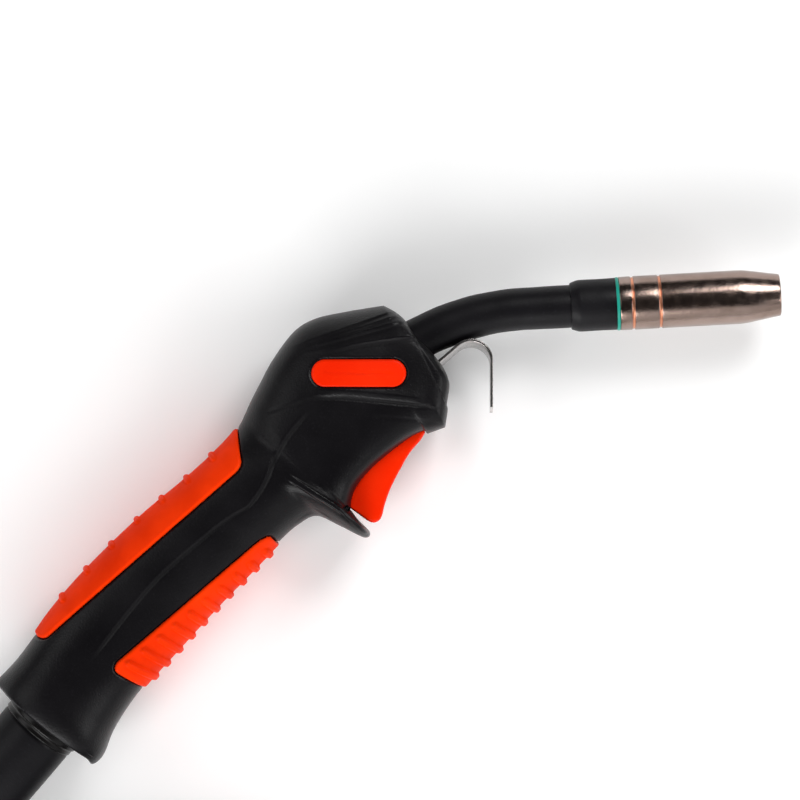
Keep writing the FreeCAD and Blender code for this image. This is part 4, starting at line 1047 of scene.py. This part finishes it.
def make_nozzle_end():
    """Collar, insulator and nozzle in line; the floors of the nozzle's two grooves are bare copper."""
    collar = lathe("neck_collar_skin", [
        (-0.2, 7.0), (-0.2, 7.7, 0.3), (2.4, 8.55, 0.8), (8, 8.62, 2), (COLLAR_LENGTH, 8.6, 0.45),
        (COLLAR_LENGTH, 5.0)], LINE_START, LINE, reshape=collar_shape)
    placed(collar, "handle", "rubber_black", "neck_collar")
    flange, sleeve_end = COLLAR_LENGTH + 0.8, 25.5
    insulator = lathe("nozzle_insulator_ring", [
        (COLLAR_LENGTH - 0.2, 5.0), (COLLAR_LENGTH - 0.2, 8.85, 0.2), (flange, 8.95, 0.25),
        (flange, 5.6, 0.1), (sleeve_end, 5.6, 0.3), (sleeve_end, 5.0)], LINE_START, LINE)
    placed(insulator, "handle", "insulator_teal", "nozzle_insulator")
    rear, length, outer, cone = 16.1, 53.6, 8.95, 12.3
    grooves = (rear + 3.9, rear + 12.9)
    shoulder = rear + length - cone
    profile = [(rear, 7.1, 0), (rear, outer - 0.05, 0.35)]
    for groove in grooves:
        profile += [(groove, outer, 0.18), (groove + 0.22, outer - 0.4, 0.12),
                    (groove + 0.8, outer - 0.4, 0.12), (groove + 1.02, outer, 0.18)]
    profile += [(shoulder, outer + 0.02, 2.2), (rear + length, 6.95, 0.35), (rear + length, 6.0, 0.25),
                (shoulder, 7.1, 1), (rear, 7.1, 0)]
    nozzle = lathe("gas_nozzle_skin", profile, LINE_START, LINE, around=128)
    placed(nozzle, "nozzle", "nozzle_nickel", "gas_nozzle")
    nozzle.data.materials.append(FINISHES["copper"])
    for face in nozzle.data.polygons:
        reach = face.center - LINE_START
        along = reach.dot(LINE) / MM
        radius = (reach - LINE * reach.dot(LINE)).length / MM
        if any(start + 0.1 < along < start + 0.92 for start in grooves) and 8.2 < radius < outer - 0.12:
            face.material_index = 1


make_neck()
make_nozzle_end()


# ---- ball joint, boot, cable end

BALL = Vector(joints["cable_swing"]["pos_m"])
CABLE_START = Vector(LEAD[0]) * MM
BOOT_AXIS = (CABLE_START - BALL).normalized()
BOOT_END = (CABLE_START - BALL).length / MM


def make_boot():
    """Tapered strain relief behind the glossy ring of the ball joint."""
    ring = lathe("ball_ring", [
        (-11, 4), (-9, 9.4, 2), (-3, 12.7, 3), (4, 12.4, 3), (9.4, 9.5, 0.8), (10.8, 12.6, 0.8),
        (13.2, 13.7, 1.2), (16.4, 13.8, 0.6), (17.0, 13.1, 0.4), (18.6, 13.3, 0.5), (18.9, 12.6, 0.2),
        (18.9, 6)], BALL, BOOT_AXIS)
    placed(ring, "cable_set", "ball_black", "cable_ball")
    profile = [(17.8, 6), (17.8, 12.2, 0.2), (19.6, 13.0, 0.5), (42, 13.0, 8), (BOOT_END - 26, 10.6, 4)]
    for rib in range(5):
        place = BOOT_END - 24 + rib * 4.2
        radius = 10.5 - 0.16 * (rib + 1)
        profile += [(place, radius, 0.3), (place + 0.5, radius - 0.8, 0.3),
                    (place + 1.9, radius - 0.85, 0.3), (place + 2.4, radius - 0.05, 0.3)]
    profile += [(BOOT_END - 0.6, 9.4, 0.8), (BOOT_END, 8.2, 0.3), (BOOT_END, 5)]
    boot = lathe("cable_boot_skin", profile, BALL, BOOT_AXIS)
    placed(boot, "cable_set", "rubber_black", "cable_boot")
    return boot


cable_boot = make_boot()


# ---- plug

PLUG_START = Vector(TAIL[-1]) * MM
PLUG_AXIS = Vector((1, 0, 0))
BOOT_LENGTH, HOUSING_LENGTH = 40, 48
HOUSING_END = BOOT_LENGTH + HOUSING_LENGTH


def finger_flutes(along, radius, turn):
    """Shallow hollows round the plug's housing for the fingers."""
    if radius < 16 or not BOOT_LENGTH + 7 < along < HOUSING_END - 6:
        return radius
    swell = math.sin(math.pi * (along - BOOT_LENGTH - 7) / (HOUSING_LENGTH - 13))
    return radius - 0.9 * swell * max(0.0, math.cos(turn * 10)) ** 2


def knurl(along, radius, turn):
    """Cut flutes round the brass nut."""
    first, last = HOUSING_END + 2.5, HOUSING_END + 20
    if radius < 20 or not first < along < last:
        return radius
    return radius - 0.55 * max(0.0, math.cos(turn * 36))


def make_plug():
    """Ribbed boot, fluted housing and knurled nut with its thread; returns what rides with the cable."""
    profile = [(0, 5), (0, 8.5, 0.3)]
    for rib in range(6):
        place = 3 + rib * 5.2
        radius = 9.0 + 0.42 * rib
        profile += [(place, radius, 0.4), (place + 2.6, radius + 0.2, 0.4),
                    (place + 3.0, radius - 0.9, 0.3), (place + 4.6, radius - 0.8, 0.3)]
    profile += [(BOOT_LENGTH - 3, 12.2, 1), (BOOT_LENGTH, 12.4, 0.3), (BOOT_LENGTH, 5)]
    boot = lathe("plug_boot_skin", profile, PLUG_START, PLUG_AXIS)
    placed(boot, "cable_set", "rubber_black", "plug_boot")
    housing_line = [(BOOT_LENGTH + 0.1, 6), (BOOT_LENGTH + 0.1, 13.4, 1)]
    steps = 34                          # enough rows for the flutes to swell smoothly
    for step in range(steps + 1):
        place = BOOT_LENGTH + 8 + (HOUSING_LENGTH - 13) * step / steps
        housing_line.append((place, 18.4, 0 if step else 3))
    housing_line += [(HOUSING_END - 3.2, 18.5, 0.5), (HOUSING_END - 2.9, 13.9, 0.3),
                     (HOUSING_END - 0.1, 13.6, 0.4), (HOUSING_END - 0.1, 10)]
    housing = lathe("plug_housing_skin", housing_line, PLUG_START, PLUG_AXIS, around=160,
                    reshape=finger_flutes)
    placed(housing, "cable_set", "connector_black", "plug_housing")
    first = HOUSING_END + 0.3
    nut_line = [(first, 15.2, 0), (first, 20.0, 0.3), (first + 1.4, 20.9, 0.5)]
    for step in range(13):
        nut_line.append((first + 2.2 + 1.4 * step, 21.0, 0))
    nut_line += [(HOUSING_END + 20.6, 21.0, 0.4), (HOUSING_END + 22, 20.2, 0.4),
                 (HOUSING_END + 22, 18.2, 0.4), (HOUSING_END + 21.2, 17.6, 0.3)]
    for thread in range(9):
        place = HOUSING_END + 20.4 - 1.8 * thread
        nut_line += [(place, 17.9, 0.1), (place - 0.9, 17.1, 0.1)]
    nut_line += [(HOUSING_END + 3.8, 17.3, 0.3), (HOUSING_END + 3.6, 15.2, 0.2), (first, 15.2, 0)]
    nut = lathe("plug_nut_skin", nut_line, PLUG_START, PLUG_AXIS, around=216, reshape=knurl, soft=0.2)
    placed(nut, "coupling_nut", "brass", "plug_nut")
    return [boot, housing]


plug_pieces = make_plug()
placed(torch_cable, "cable_set", "rubber_black", "cable", "cable_coil", "cable_tail")


# ---- CAD nodes that stay

for part in frame["record"]["subparts"]:
    node = frame["nodes"][part["node"]]
    node.data.materials.clear()
    node.data.materials.append(FINISHES[part["material_slot"]])


# ---- floor and light

FLOOR_SIZE, FLOOR_STEPS, FLOOR_DROP = 3.0, 24, 0.0002


def make_floor():
    """Pale matt sheet just under the torch, with a faint glow of its own like a light table."""
    vertices = [((column / FLOOR_STEPS - 0.5) * FLOOR_SIZE, (row / FLOOR_STEPS - 0.5) * FLOOR_SIZE,
                 -FLOOR_DROP) for row in range(FLOOR_STEPS + 1) for column in range(FLOOR_STEPS + 1)]
    material, tree, surface = shader("pale_floor", (0.93, 0.93, 0.93), 0.65, Specular_IOR_Level=0.2,
                                     Emission_Color=(1, 1, 1, 1), Emission_Strength=0.09)
    place = coordinates(tree)
    tone = mixed(tree, ranged(tree, noise(tree, place, 220), 0.3, 0.7, 0, 1),
                 (0.93, 0.93, 0.93), (0.96, 0.96, 0.96))
    tree.links.new(tone, surface.inputs["Base Color"])
    floor = mesh_object("floor", vertices, grid_faces(FLOOR_STEPS + 1, FLOOR_STEPS + 1))
    floor.data.materials.append(material)


def softbox(name, place, size, power):
    """Rectangular light that faces the torch."""
    data = bpy.data.lights.new(name, "AREA")
    data.shape = "RECTANGLE"
    data.size, data.size_y = size
    data.energy = power
    lamp = bpy.data.objects.new(name, data)
    lamp.location = place
    aim = Vector((0, 0, 0.02)) - Vector(place)
    lamp.rotation_euler = aim.to_track_quat("-Z", "Y").to_euler()
    scene.collection.objects.link(lamp)


def make_light():
    """Four softboxes, and a world that is bright only low in front, for the metal to show."""
    world = bpy.data.worlds.new("studio")
    world.use_nodes = True
    tree = world.node_tree
    way = tree.nodes.new("ShaderNodeTexCoord")
    parts = tree.nodes.new("ShaderNodeSeparateXYZ")
    tree.links.new(way.outputs["Generated"], parts.inputs[0])
    glow = ranged(tree, parts.outputs["Y"], -0.72, -0.58, 0.75, 0.03)
    background = tree.nodes["Background"]
    background.inputs["Color"].default_value = (1, 1, 1, 1)
    tree.links.new(glow, background.inputs["Strength"])
    scene.world = world
    softbox("key_light", (0.45, 0.75, 0.85), (0.55, 0.45), 7)
    softbox("fill_light", (-1.0, 0.25, 0.85), (0.9, 0.7), 3.6)
    softbox("front_light", (-0.55, -1.0, 0.75), (1.1, 0.55), 13)
    softbox("side_light", (1.1, -0.25, 0.7), (0.8, 0.6), 7)
    scene.view_settings.view_transform = "Standard"


make_floor()
make_light()
